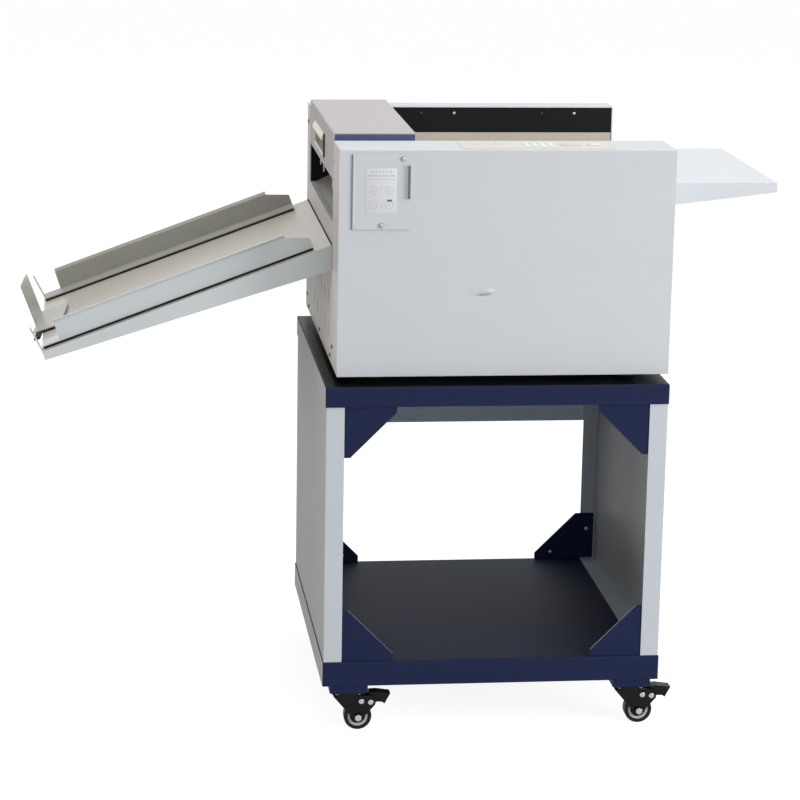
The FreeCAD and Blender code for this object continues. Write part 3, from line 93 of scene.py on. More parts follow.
def add_node(tree: bpy.types.NodeTree, kind: str, feeds: dict | None = None,
             **settings: object) -> bpy.types.Node:
    """Add one shader node, set it and feed its inputs.

    Args:
        tree: The material's node tree.
        kind: The node's type without its ShaderNode prefix.
        feeds: Values or output sockets, by the name or number of the input.
        settings: The node's own attributes.

    Returns:
        The new node.
    """
    node = tree.nodes.new(f"ShaderNode{kind}")
    for name, value in settings.items():
        setattr(node, name, value)
    for key, value in (feeds or {}).items():
        if isinstance(value, bpy.types.NodeSocket):
            tree.links.new(value, node.inputs[key])
        else:
            node.inputs[key].default_value = value
    return node


@dataclass(frozen=True)
class Finish:
    """A surface finish: its colour, how it was made, and the real size of its patterns."""

    name: str
    colour: str
    tone: str
    roughness: float
    metallic: float = 0.0
    coat: float = 0.0
    coat_roughness: float = 0.1
    grain_mm: float = 1.2
    grain_depth_mm: float = 0.02
    speckle: float = 0.0
    cloud_mm: float = 160.0
    specular: float = 0.5
    stretch: Point = (1.0, 1.0, 1.0)

    def build(self) -> bpy.types.Material:
        """Make the material once, and give it back each later time.

        Returns:
            The material with its node tree.
        """
        found = bpy.data.materials.get(self.name)
        if found:
            return found
        material = bpy.data.materials.new(self.name)
        material.use_nodes = True
        tree = material.node_tree
        tree.nodes.clear()
        place = add_node(tree, "TexCoord").outputs["Object"]
        run = add_node(tree, "Mapping", {"Vector": place, "Scale": self.stretch})
        colour = self._colour(tree, run.outputs["Vector"])
        grain = add_node(tree, "TexNoise", {
            "Vector": run.outputs["Vector"], "Scale": 1 / (self.grain_mm * MM),
            "Detail": 2.0, "Roughness": 0.5})
        bump = add_node(tree, "Bump", {
            "Height": grain.outputs["Fac"], "Strength": 1.0,
            "Distance": self.grain_depth_mm * MM})
        gloss = add_node(tree, "MapRange", {
            "Value": grain.outputs["Fac"], "To Min": max(self.roughness - GLOSS_SPREAD, 0.02),
            "To Max": min(self.roughness + GLOSS_SPREAD, 1.0)})
        shader = add_node(tree, "BsdfPrincipled", {
            "Base Color": colour, "Roughness": gloss.outputs["Result"],
            "Metallic": self.metallic, "Coat Weight": self.coat,
            "Specular IOR Level": self.specular,
            "Coat Roughness": self.coat_roughness, "Normal": bump.outputs["Normal"]})
        add_node(tree, "OutputMaterial", {"Surface": self._top(tree, shader, place)})
        material.diffuse_color = linear(self.colour)
        return material

    def _colour(self, tree: bpy.types.NodeTree,
                place: bpy.types.NodeSocket) -> bpy.types.NodeSocket:
        """Mix the two tones by a slow cloud and, where it is set, a fine speckle.

        Args:
            tree: The material's node tree.
            place: The stretched object coordinates.

        Returns:
            The colour socket.
        """
        cloud = add_node(tree, "TexNoise", {
            "Vector": place, "Scale": 1 / (self.cloud_mm * MM), "Detail": 3.0})
        mixed = add_node(tree, "Mix", {
            "Factor": cloud.outputs["Fac"], MIX_A: linear(self.colour),
            MIX_B: linear(self.tone)}, data_type="RGBA")
        if not self.speckle:
            return mixed.outputs[MIX_RESULT]
        fine = add_node(tree, "TexNoise", {
            "Vector": place, "Scale": 1 / (self.grain_mm * MM), "Detail": 1.0})
        level = add_node(tree, "MapRange", {
            "Value": fine.outputs["Fac"], "From Min": 0.35, "From Max": 0.65,
            "To Min": 1 - self.speckle, "To Max": 1 + self.speckle})
        scaled = add_node(tree, "VectorMath", {
            0: mixed.outputs[MIX_RESULT], "Scale": level.outputs["Result"]},
            operation="SCALE")
        return scaled.outputs["Vector"]

    def _top(self, tree: bpy.types.NodeTree, shader: bpy.types.Node,
             place: bpy.types.NodeSocket) -> bpy.types.NodeSocket:
        """Give the surface socket; a finish with marks lays them over the shader here."""
        return shader.outputs["BSDF"]


@dataclass(frozen=True)
class Rub:
    """A rubbed spot on paint: its middle, its length and height, its colour and strength."""

    place: Point
    long_mm: float
    wide_mm: float
    colour: str
    strength: float


@dataclass(frozen=True)
class ScuffedPaint(Finish):
    """Paint with a few rubbed spots, where something hard was dragged along it."""

    rubs: tuple[Rub, ...] = ()

    def _top(self, tree: bpy.types.NodeTree, shader: bpy.types.Node,
             place: bpy.types.NodeSocket) -> bpy.types.NodeSocket:
        """Lay the broken, soft-edged spots over the paint, one after the other.

        Args:
            tree: The material's node tree.
            shader: The paint's shader.
            place: The object coordinates.

        Returns:
            The surface socket.
        """
        surface = shader.outputs["BSDF"]
        for rub in self.rubs:
            spot = add_node(tree, "Mapping", {
                "Vector": place, "Location": rub.place,
                "Scale": (rub.long_mm * MM, 1.0, rub.wide_mm * MM)}, vector_type="TEXTURE")
            ball = add_node(tree, "TexGradient", {"Vector": spot.outputs["Vector"]},
                            gradient_type="SPHERICAL")
            torn = add_node(tree, "TexNoise", {
                "Vector": spot.outputs["Vector"], "Scale": 2.2, "Detail": 5.0})
            both = add_node(tree, "Math", {
                0: ball.outputs["Fac"], 1: torn.outputs["Fac"]}, operation="MULTIPLY")
            edge = add_node(tree, "MapRange", {
                "Value": both.outputs["Value"], "From Min": 0.1, "From Max": 0.36,
                "To Max": rub.strength})
            bare = add_node(tree, "BsdfPrincipled", {
                "Base Color": linear(rub.colour), "Roughness": 0.7})
            over = add_node(tree, "MixShader", {
                0: edge.outputs["Result"], 1: surface, 2: bare.outputs["BSDF"]})
            surface = over.outputs["Shader"]
        return surface


# Grain sizes are real ones down to about a millimetre. The grains of metals, plastics, rubbers and
# prints are finer than that, and are drawn at about a millimetre so that they show.

# Powder coat: baked paint with a fine orange peel, which breaks up its highlights. The casing's
# pale coats are nearly matt, so that they keep their colour under a lamp.
CASING_GREY: dict[str, float] = dict(roughness=0.55, grain_mm=2.4, grain_depth_mm=0.012,
                                     specular=0.05)
CASING = Finish("powder_coat_pale_grey", "#cbcfd2", "#c5c9cd", **CASING_GREY)
HOOD = Finish("powder_coat_lilac_grey", "#b7b4b7", "#b1aeb1", **CASING_GREY)
TABLE = Finish("powder_coat_white", "#d2d6da", "#cdd1d5", **CASING_GREY)
# The casing's paint on faces that look to the delivery side: a darker, warmer copy of the pale grey,
# painted shade.
CASING_SHADE = Finish("powder_coat_pale_grey_painted_shade", "#c1c0be", "#bab9b6", 0.45, grain_mm=2.4,
                    grain_depth_mm=0.012, speckle=0.03, specular=0.1)
# The delivery side's coats are smoother: a satin gloss that shows soft bands along a fold.
SATIN: dict[str, float] = dict(roughness=0.35, coat_roughness=0.2, grain_mm=2.2,
                               grain_depth_mm=0.012)
TRAY = Finish("powder_coat_warm_grey", "#b6b2a9", "#aca89f", coat=0.2, speckle=0.03, **SATIN)
STOP = Finish("powder_coat_stop_grey", "#a8a7a3", "#a09f9b", coat=0.2, **SATIN)
# The near guide and the tray's near-facing faces: a lighter, cooler copy of the tray's paint,
# painted light.
LIT_GREY = Finish("painted_light_cool_grey", "#c9cfd2", "#c1c7ca", coat=0.15, **SATIN)
# The far guide: a darker copy of the tray's paint, painted shade.
SHADE_GREY = Finish("painted_shade_dull_grey", "#9b9b94", "#91918a", 0.4, grain_mm=2.2,
                    grain_depth_mm=0.012, speckle=0.05)
TAN = Finish("powder_coat_tan", "#b8b1a3", "#aea799", 0.5, grain_mm=2.0,
             grain_depth_mm=0.015, speckle=0.05)
CHUTE = Finish("powder_coat_olive_grey", "#8d8b82", "#858379", 0.45, grain_mm=2.2,
               grain_depth_mm=0.012)
# The stand's coats are thicker, with a coarser peel and dust grains that show as a speckle.
POST = Finish("powder_coat_light_post", "#c0c6cc", "#b9bfc5", 0.34, coat=0.2,
              coat_roughness=0.2, grain_mm=2.6, grain_depth_mm=0.02, speckle=0.03)
# The back panel: the posts' light grey, lightened against the shade under the top as painted light,
# with a painted blue reflection of the navy.
BACK = Finish("powder_coat_light_grey_painted_blue_reflection", "#d3e0f0", "#c7d3e2", 0.5, grain_mm=2.6,
              grain_depth_mm=0.02, speckle=0.09)
NAVY = Finish("powder_coat_navy", "#101c3f", "#0d1838", 0.65, grain_mm=2.6,
              grain_depth_mm=0.02, speckle=0.2, specular=0.2)
SHELF = Finish("powder_coat_navy_shelf", "#182338", "#131c30", 0.55, grain_mm=2.6,
               grain_depth_mm=0.02, speckle=0.35, specular=0.12)
DECK = Finish("gloss_coat_charcoal", "#0b0c0e", "#08090b", 0.3, grain_mm=2.6,
              grain_depth_mm=0.015, speckle=0.2, specular=0.06)
# The gussets' up-facing slopes take a pale navy that is a painted highlight. The hood's ends are of
# a paler navy all over.
NAVY_HIGHLIGHT = Finish("navy_painted_highlight", "#8a8fae", "#7f84a2", 0.35, grain_mm=1.0,
                   grain_depth_mm=0.01)
NAVY_TRIM = Finish("powder_coat_navy_trim", "#3f4570", "#393f68", 0.5, grain_mm=2.0,
                   grain_depth_mm=0.01)
# Side webs: the posts' pale grey a little darker as painted shade, a smooth gloss with a little
# metal, which mirrors the gussets in soft bands. On the decks' ends it is painted reflection.
WEB = Finish("light_grey_painted_shade_and_reflection", "#b2b4b6", "#aaacae", 0.26, metallic=0.1, grain_mm=3.0,
             grain_depth_mm=0.012, speckle=0.03, specular=0.0)
# Black on the inner walls: painted shade, rough and dull, so that the open head reads as a dark gap.
SHADE_BLACK = Finish("painted_shade_black", "#0f1114", "#0b0d10", 0.7, grain_mm=2.0,
               grain_depth_mm=0.03, speckle=0.15, specular=0.15)
# Zinc plate: blue-white steel with a fine drawn grain. Its black kind shines much less.
ZINC = Finish("zinc_plated_steel", "#b4b8be", "#a2a6ad", 0.32, metallic=1.0, grain_mm=1.4,
              grain_depth_mm=0.008, stretch=(1.0, 0.12, 1.0))
ZINC_BLACK = Finish("black_zinc_steel", "#1d1f21", "#151719", 0.4, grain_mm=1.0,
                    grain_depth_mm=0.01)
# Ground steel: bright shafts and bars with an even sheen, and no grain that would sparkle.
GROUND = Finish("ground_tool_steel", "#bfc2c8", "#a8acb3", 0.3, metallic=1.0,
                grain_mm=0.9, grain_depth_mm=0.0015, stretch=(1.0, 0.08, 1.0))
# Sintered bronze: pressed from powder, a dull gold with fine pores.
BRONZE = Finish("sintered_bronze", "#a9854c", "#97733d", 0.45, metallic=1.0, grain_mm=0.8,
                grain_depth_mm=0.02)
# Cast alloy: the motors' housings, grey and pebbled as they left the mould.
ALLOY = Finish("cast_alloy", "#8f9297", "#83868b", 0.5, metallic=0.9, grain_mm=1.5,
               grain_depth_mm=0.05)
# Solder mask: green lacquer with a glassy face on the control board.
BOARD = Finish("solder_mask_green", "#1f5a38", "#1a4d30", 0.35, coat=0.5, grain_mm=3.0,
               grain_depth_mm=0.01)
# Moulded ABS: a fine spark-eroded grain keeps it dull.
ABS_BLACK = Finish("moulded_abs_black", "#1c1d20", "#232428", 0.5, grain_mm=0.9,
                   grain_depth_mm=0.03)
ABS_GREY = Finish("moulded_abs_grey", "#d2cfca", "#c9c6c1", 0.45, grain_mm=0.9,
                  grain_depth_mm=0.02)
# The cream one is the hood pull's upper lip: a painted highlight.
PULL_HIGHLIGHT = Finish("painted_highlight_cream", "#e6e3dd", "#dedbd5", 0.4, grain_mm=0.9,
                   grain_depth_mm=0.02)
# The olive grey one is the sheet on the floor inside the hood's pull: painted shade.
PULL_SHADE = Finish("painted_shade_olive_grey", "#b4b2aa", "#aaa8a0", 0.6, grain_mm=0.9,
                   grain_depth_mm=0.03)
# Rubbers: matt, with soft highlights. The magnet strip is rubber filled with ferrite powder.
RUBBER = Finish("ground_rubber", "#2c2c2e", "#363638", 0.85, grain_mm=1.2,
                grain_depth_mm=0.06)
# The grey strip in the door's finger lip: painted shade.
LIP_SHADE = Finish("painted_shade_grey", "#6a6f74", "#62676c", 0.75, grain_mm=1.0,
              grain_depth_mm=0.03)
# The grey strip by the door's hinged edge: painted shadow of the gap there.
EDGE_SHADOW = Finish("painted_shadow_grey", "#858a8d", "#7d8285", 0.75, grain_mm=1.0,
              grain_depth_mm=0.02)
MAGNET = Finish("ferrite_rubber", "#101010", "#161515", 0.8, grain_mm=1.5,
                grain_depth_mm=0.02, specular=0.25)
# Castors: a cast tyre with a faint sheen, a pale nylon rim and a fork in thin dipped black.
TYRE = Finish("cast_polyurethane_black", "#080809", "#0c0c0d", 0.4, grain_mm=1.6,
              grain_depth_mm=0.02, specular=0.2)
RIM = Finish("moulded_nylon_pale", "#b9bcc0", "#aaadb2", 0.4, grain_mm=1.2,
             grain_depth_mm=0.02)
FORK = Finish("black_electrophoretic_coat", "#060707", "#0a0b0c", 0.35, grain_mm=1.8,
              grain_depth_mm=0.02, specular=0.15)
# Printed polyester: satin film under a clear face, its marks printed on it in thin ink.
OVERLAY = Finish("polyester_overlay_beige", "#c4c2bb", "#bfbdb6", 0.4, coat=0.2,
                 grain_mm=1.0, grain_depth_mm=0.01)
LABEL = Finish("polyester_label_white", "#d3d5d8", "#cfd1d4", 0.35, coat=0.15,
               grain_mm=1.0, grain_depth_mm=0.005)
PRINT: dict[str, float] = dict(roughness=0.5, grain_mm=0.8, grain_depth_mm=0.004)
INK = Finish("printed_ink_grey", "#a6a9ae", "#9fa2a7", **PRINT)
INK_FAINT = Finish("printed_ink_faint", "#bfbab3", "#b9b4ad", **PRINT)
INK_BLACK = Finish("printed_ink_black", "#1a1b1e", "#222326", **PRINT)


# ---------------------------------------------------------------- modelling helpers
class Axis(Enum):
    """A row axis, with the turn that lays a primitive's own +Z along it."""

    Y = (-math.pi / 2, 0.0, 0.0)
    Z = (0.0, 0.0, 0.0)
    MINUS_X = (0.0, -math.pi / 2, 0.0)
    MINUS_Y = (math.pi / 2, 0.0, 0.0)


def deselect() -> None:
    """Leave nothing selected."""
    bpy.ops.object.select_all(action="DESELECT")


def choose(piece: bpy.types.Object) -> None:
    """Select one piece alone and make it the active one.

    Args:
        piece: The mesh object.
    """
    deselect()
    piece.select_set(True)
    bpy.context.view_layer.objects.active = piece


def settle(piece: bpy.types.Object) -> bpy.types.Object:
    """Put the piece's place into its mesh, so that its object sits at the origin.

    Args:
        piece: The mesh object.

    Returns:
        The same object.
    """
    choose(piece)
    bpy.ops.object.transform_apply(location=True, rotation=True, scale=True)
    return piece


def pick(piece: bpy.types.Object, test: Callable[[bpy.types.MeshPolygon], bool]) -> None:
    """Enter edit mode with only the faces that pass the test selected.

    Args:
        piece: The mesh object.
        test: Tells of a face whether it is wanted.
    """
    choose(piece)
    bpy.ops.object.mode_set(mode="EDIT")
    bpy.ops.mesh.select_mode(type="FACE")
    bpy.ops.mesh.select_all(action="DESELECT")
    bpy.ops.object.mode_set(mode="OBJECT")
    for face in piece.data.polygons:
        face.select = test(face)
    bpy.ops.object.mode_set(mode="EDIT")


def leave_edit() -> None:
    """Go back to object mode."""
    bpy.ops.object.mode_set(mode="OBJECT")


def block(name: str, low: Sequence[float], high: Sequence[float]) -> bpy.types.Object:
    """Start a piece from a block between two corners.

    Args:
        name: The piece's name.
        low: Its lowest corner, in metres.
        high: Its highest corner, in metres.

    Returns:
        The mesh object, at the origin.
    """
    deselect()
    low_corner, high_corner = Vector(low), Vector(high)
    bpy.ops.mesh.primitive_cube_add(size=1, location=(low_corner + high_corner) / 2)
    piece = bpy.context.object
    piece.name = name
    piece.scale = high_corner - low_corner
    return settle(piece)


def drum(name: str, centre: Sequence[float], radius: float, depth: float, axis: Axis,
         sides: int = 32) -> bpy.types.Object:
    """Start a piece from a round bar.

    Args:
        name: The piece's name.
        centre: Its middle, in metres.
        radius: Its radius, in metres.
        depth: Its length along the axis, in metres.
        axis: The way its axis points.
        sides: How many flat sides it has.

    Returns:
        The mesh object, at the origin.
    """
    deselect()
    bpy.ops.mesh.primitive_cylinder_add(
        vertices=sides, radius=radius, depth=depth, location=centre, rotation=axis.value)
    piece = bpy.context.object
    piece.name = name
    return settle(piece)


def soften(piece: bpy.types.Object, width: float, segments: int = 2,
           angle: float = 40.0) -> bpy.types.Object:
    """Round the piece's sharp edges and shade what is left smooth.

    Args:
        piece: The mesh object.
        width: The bevel's width, in metres.
        segments: How many faces go round each edge.
        angle: The least angle between faces that counts as sharp, in degrees.

    Returns:
        The same object.
    """
    bevel = piece.modifiers.new("soft_edges", "BEVEL")
    bevel.width = width
    bevel.segments = segments
    bevel.limit_method = "ANGLE"
    bevel.angle_limit = math.radians(angle)
    choose(piece)
    bpy.ops.object.modifier_apply(modifier=bevel.name)
    bpy.ops.object.shade_smooth_by_angle(angle=math.radians(angle))
    return piece


def cut_out(piece: bpy.types.Object, tool: bpy.types.Object) -> None:
    """Take the tool's shape out of the piece and throw the tool away.

    Args:
        piece: The mesh object that is cut.
        tool: The closed shape that is taken out of it.
    """
    cut = piece.modifiers.new("cut", "BOOLEAN")
    cut.operation = "DIFFERENCE"
    cut.object = tool
    choose(piece)
    bpy.ops.object.modifier_apply(modifier=cut.name)
    bpy.data.objects.remove(tool, do_unlink=True)


def dress(piece: bpy.types.Object, *finishes: Finish) -> bpy.types.Object:
    """Give a piece its finishes, in slot order.

    Args:
        piece: The mesh object.
        finishes: Its finishes; faces start in the first one.

    Returns:
        The same object.
    """
    piece.data.materials.clear()
    for finish in finishes:
        piece.data.materials.append(finish.build())
    return piece


def join(pieces: Iterable[bpy.types.Object], name: str) -> bpy.types.Object:
    """Join several pieces into one mesh.

    Args:
        pieces: The mesh objects; the first one keeps its data.
        name: The joined piece's name.

    Returns:
        The joined object.
    """
    pieces = list(pieces)
    deselect()
    for piece in pieces:
        piece.select_set(True)
    bpy.context.view_layer.objects.active = pieces[0]
    if len(pieces) > 1:
        bpy.ops.object.join()
    joined = bpy.context.view_layer.objects.active
    joined.name = name
    return joined


def copy_to(master: bpy.types.Object, name: str, matrix: Matrix) -> bpy.types.Object:
    """Copy a piece with its own mesh, moved by a matrix.

    Args:
        master: The finished piece, modelled about the origin.
        name: The copy's name.
        matrix: Where the copy goes.

    Returns:
        The copy, whose object sits at the origin.
    """
    mesh = master.data.copy()
    mesh.transform(matrix)
    copy = bpy.data.objects.new(name, mesh)
    bpy.context.scene.collection.objects.link(copy)
    return copy


def discard(piece: bpy.types.Object) -> None:
    """Throw away a master piece after its last copy."""
    bpy.data.objects.remove(piece, do_unlink=True)


def fit(piece: bpy.types.Object, body: str,
        replaced: Sequence[str] = ()) -> bpy.types.Object:
    """Let a finished piece ride on its body and hide the frame's nodes that it stands for.

    Args:
        piece: The finished piece.
        body: The body that it moves with.
        replaced: The frame's nodes that it stands for.

    Returns:
        The same piece.
    """
    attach(piece, body)
    if replaced:
        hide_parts(*replaced)
    LOG.info("fitted %s to %s", piece.name, body)
    return piece


def paint(nodes: dict[str, bpy.types.Object], finish: Finish, *names: str) -> None:
    """Dress whole nodes of the frame in one finish.

    Args:
        nodes: The frame's nodes by name.
        finish: The finish.
        names: The nodes' names.
    """
    for name in names:
        dress(nodes[name], finish)
        LOG.info("dressed %s", name)


def dress_faces(node: bpy.types.Object, finish: Finish,
                test: Callable[[bpy.types.MeshPolygon], bool]) -> None:
    """Give a second finish to those faces of a node that pass the test.

    Args:
        node: The frame's node, already dressed in its main finish.
        finish: The finish of the chosen faces.
        test: Tells of a face whether it is chosen.
    """
    node.data.materials.append(finish.build())
    slot = len(node.data.materials) - 1
    for face in node.data.polygons:
        if test(face):
            face.material_index = slot
    LOG.info("dressed faces of %s in %s", node.name, finish.name)


# ---------------------------------------------------------------- fittings
@dataclass
class PanHead:
    """A cross-recess pan head, modelled about the origin with its top along +Z."""

    radius: float = 3.6 * MM
    height: float = 1.7 * MM
    arm: float = 2.0 * MM
    arm_width: float = 0.7 * MM
    finish: Finish = ZINC
    # Shares of the radius and the height: two steps of the domed top, and the cross's floor and top.
    crown: Pairs = ((0.22, 0.18), (0.3, 0.06))
    recess: Pair = (0.5, 1.3)

    def model(self) -> bpy.types.Object:
        """Model one head.

        Returns:
            The head, whose underside is at z = 0.
        """
        head = drum("pan_head", (0, 0, self.height / 2), self.radius, self.height, Axis.Z, 24)
        pick(head, lambda face: face.normal.z > FACING)
        for inward, upward in self.crown:
            bpy.ops.mesh.inset(thickness=self.radius * inward, depth=self.height * upward)
        leave_edit()
        floor, top = (self.height * share for share in self.recess)
        long, thin = self.arm, self.arm_width / 2
        for half_x, half_y in ((long, thin), (thin, long)):
            cut_out(head, block("recess_tool", (-half_x, -half_y, floor),
                                (half_x, half_y, top)))
        choose(head)
        bpy.ops.object.shade_smooth_by_angle(angle=math.radians(SMOOTH_DEG))
        return dress(head, self.finish)


def turned(axis: Axis, place: Sequence[float], spin: float = 0.0) -> Matrix:
    """Give the matrix that lays a piece's +Z along an axis at a place.

    Args:
        axis: The way the piece's +Z goes.
        place: Where its origin goes, in metres.
        spin: A turn about its own +Z first, in radians.

    Returns:
        The matrix.
    """
    lay = Matrix.Rotation(axis.value[1], 4, "Y") @ Matrix.Rotation(axis.value[0], 4, "X")
    return Matrix.Translation(place) @ lay @ Matrix.Rotation(spin, 4, "Z")


@dataclass
class Machine:
    """The machine's own frame: its origin is the casing's lowest left near corner.

    The sub-assemblies give their places and sizes in its millimetres, or in metres where MM stands
    beside the number.
    """

    nodes: dict[str, bpy.types.Object]
    origin: Vector = field(init=False)

    def __post_init__(self) -> None:
        """Read the casing's corner from the frame."""
        self.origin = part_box("near_cover")[0]

    def at(self, x_mm: float, y_mm: float, z_mm: float) -> Vector:
        """Turn a place in the machine's frame, in millimetres, into the row's metres."""
        return self.origin + Vector((x_mm, y_mm, z_mm)) * MM


@dataclass
class Casing:
    """The box covers, the panels between them and what is screwed to them."""

    machine: Machine
    wall_y: float = 579.0
    # Across and up the delivery face, then along and up the far wall.
    # The heads in black zinc stand in for the dark spots of shade round those screws: painted shade.
    shade_screws: Pairs = ((605, 29), (605, 368), (89, 35), (340, 13), (571, 10), (126, 12))
    bright_screws: Pairs = ((89, 368),)
    wall_screws: Pairs = ((278, 387), (513, 387))
    wall_rivets: Pairs = ((214, 387), (449, 387))
    wall_head_r: float = 2.6 * MM
    face_turn: float = 0.7
    wall_turn: float = 0.9
    gusset_turn: float = 0.4
    gusset_t: float = 3.0 * MM
    cap_r: float = 3.5 * MM
    cap_rise: float = 48.0 * MM
    cap_run: float = 72.0 * MM
    # Along and up the front, then length, height, colour and strength.
    scuffs: tuple[tuple, ...] = (
        (245, 148, 32.0, 9.0, "#c5c2b7", 0.8), (254, 145, 20.0, 4.0, "#8f8d8a", 0.9),
        (264, 147, 14.0, 4.0, "#9aa3a8", 0.7), (269, 153, 11.0, 6.0, "#e2e4e6", 0.7),
        (247, 140, 22.0, 5.0, "#d6ced0", 0.6))

    def build(self) -> None:
        """Dress the panels and model the screws."""
        nodes = self.machine.nodes
        rubs = tuple(Rub(tuple(self.machine.at(x, 0, z)), *look) for x, z, *look in self.scuffs)
        near = ScuffedPaint("powder_coat_pale_grey_scuffed", CASING.colour, CASING.tone,
                            rubs=rubs, **CASING_GREY)
        paint(nodes, near, "near_cover")
        # The near cover's delivery-side faces and the outfeed panel take the casing's paint with
        # painted shade.
        dress_faces(nodes["near_cover"], CASING_SHADE, lambda face: face.normal.x < -FACING)
        paint(nodes, CASING, "far_cover", "infeed_panel", "feed_bed", "door_hinge")
        paint(nodes, CASING_SHADE, "outfeed_panel")
        # The inner side frames are black as painted shade, so the open head reads dark.
        paint(nodes, SHADE_BLACK, "near_side_frame", "far_side_frame")
        paint(nodes, CHUTE, "exit_chute")
        paint(nodes, ZINC, "base_plate", "frame_rods")
        paint(nodes, RUBBER, "rubber_feet")
        screws = join(self._face_heads() + self._gusset_heads(), "case_screw_heads")
        fit(screws, "frame", ("case_screws",))

    def _face_heads(self) -> list[bpy.types.Object]:
        """Model the pan heads of the delivery face and of the far wall.

        Returns:
            The heads.
        """
        heads = []
        # The black zinc heads are painted shade.
        for finish, spots in ((ZINC_BLACK, self.shade_screws), (ZINC, self.bright_screws)):
            head = PanHead(finish=finish).model()
            for index, (y, z) in enumerate(spots):
                place = self.machine.at(0, y, z)
                lie = turned(Axis.MINUS_X, place, index * self.face_turn)
                heads.append(copy_to(head, "head", lie))
            discard(head)
        for finish, spots in ((ZINC, self.wall_screws), (ZINC_BLACK, self.wall_rivets)):
            head = PanHead(radius=self.wall_head_r, arm=self.wall_head_r / 2,
                           finish=finish).model()
            for index, (x, z) in enumerate(spots):
                place = self.machine.at(x, self.wall_y, z)
                lie = turned(Axis.MINUS_Y, place, index * self.wall_turn)
                heads.append(copy_to(head, "head", lie))
            discard(head)
        return heads

    def _gusset_heads(self) -> list[bpy.types.Object]:
        """Model the pan heads on the front of the stand's rear gussets.

        Returns:
            The heads.
        """
        low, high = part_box("stand_gussets")
        lowest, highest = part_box("case_screws")
        middle = (low.x + high.x) / 2
        reach = highest.x - self.cap_r - middle
        head = PanHead().model()
        heads = []
        for side in (-1, 1):
            for out, up in ((reach, self.cap_rise), (reach - self.cap_run, 0.0)):
                place = (middle + side * out, high.y - self.gusset_t,
                         lowest.z + self.cap_r + up)
                lie = turned(Axis.MINUS_Y, place, side * self.gusset_turn)
                heads.append(copy_to(head, "head", lie))
        discard(head)
        return heads


@dataclass
class Hood:
    """The hinged hood, its dark ends and its flush pull."""

    machine: Machine
    pull_y: float = 370.0
    pull_z: float = 367.5
    pull_w: float = 190.0
    pull_tall: float = 45.0
    rim: float = 5.0
    lip_x: Pair = (-6.5, -1.5)
    lip_drop: Pair = (14.0, 1.0)
    lip_fall: float = 8.0
    floor_x: Pair = (10.2, 10.9)
    floor_inset: Pair = (2.0, 7.0)
    gap_x: Pair = (-3.4, -0.1)
    gap_w: float = 1.5
    gap_inset: float = 0.5
    finger_x: Pair = (1.0, 4.4)
    finger_w: float = 2.0
    # Across the machine, then the foot and the head.
    fingers: tuple[Point, ...] = ((371, 318, 331), (310, 314, 331), (136, 310, 331))

    def build(self) -> None:
        """Dress the hood's nodes and model the pull's trim and the fingers."""
        nodes = self.machine.nodes
        paint(nodes, HOOD, "hood_cover")
        paint(nodes, NAVY_TRIM, "hood_ends")
        paint(nodes, ABS_GREY, "hood_handle")
        self._pull_trim()
        self._exit_fingers()

    def _pull_trim(self) -> None:
        """Model the pull's sloping upper lip in a pale cream that is a painted highlight, a floor
        sheet whose olive grey is painted shade, and a black block in its end gap that is painted
        shadow.
        """
        at = self.machine.at
        near = self.pull_y - self.pull_w / 2 + self.rim
        far = self.pull_y + self.pull_w / 2 - self.rim
        top = self.pull_z + self.pull_tall / 2
        low = top - self.pull_tall
        # The lip's pale cream is a painted highlight.
        lip = block("pull_lip", at(self.lip_x[0], near, top - self.lip_drop[0]),
                    at(self.lip_x[1], far, top - self.lip_drop[1]))
        middle = at(sum(self.lip_x) / 2, 0, top - sum(self.lip_drop) / 2)
        for vertex in lip.data.vertices:
            if vertex.co.x < middle.x and vertex.co.z > middle.z:
                vertex.co.z -= self.lip_fall * MM
        fit(dress(soften(lip, 0.8 * MM, 2, 30.0), PULL_HIGHLIGHT), "hood")
        # The floor sheet's olive grey is painted shade.
        side, rise = self.floor_inset
        floor = block("pull_floor_shade", at(self.floor_x[0], near + side, low + rise),
                      at(self.floor_x[1], far - side, top - rise))
        fit(dress(soften(floor, 0.2 * MM), PULL_SHADE), "hood")
        # A black block in the pull's near end: painted shadow of the gap.
        end = near - self.rim
        gap = block("pull_end_shadow", at(self.gap_x[0], end - self.gap_w, low + self.gap_inset),
                    at(self.gap_x[1], end, top - self.gap_inset))
        fit(dress(soften(gap, 0.3 * MM), ABS_BLACK), "hood")

    def _exit_fingers(self) -> None:
        """Model the three bright fingers that hang inside the exit under the hood."""
        at = self.machine.at
        fingers = []
        for y, low, high in self.fingers:
            finger = block("finger", at(self.finger_x[0], y, low),
                           at(self.finger_x[1], y + self.finger_w, high))
            fingers.append(dress(soften(finger, 0.4 * MM), ZINC))
        fit(join(fingers, "exit_fingers"), "hood")


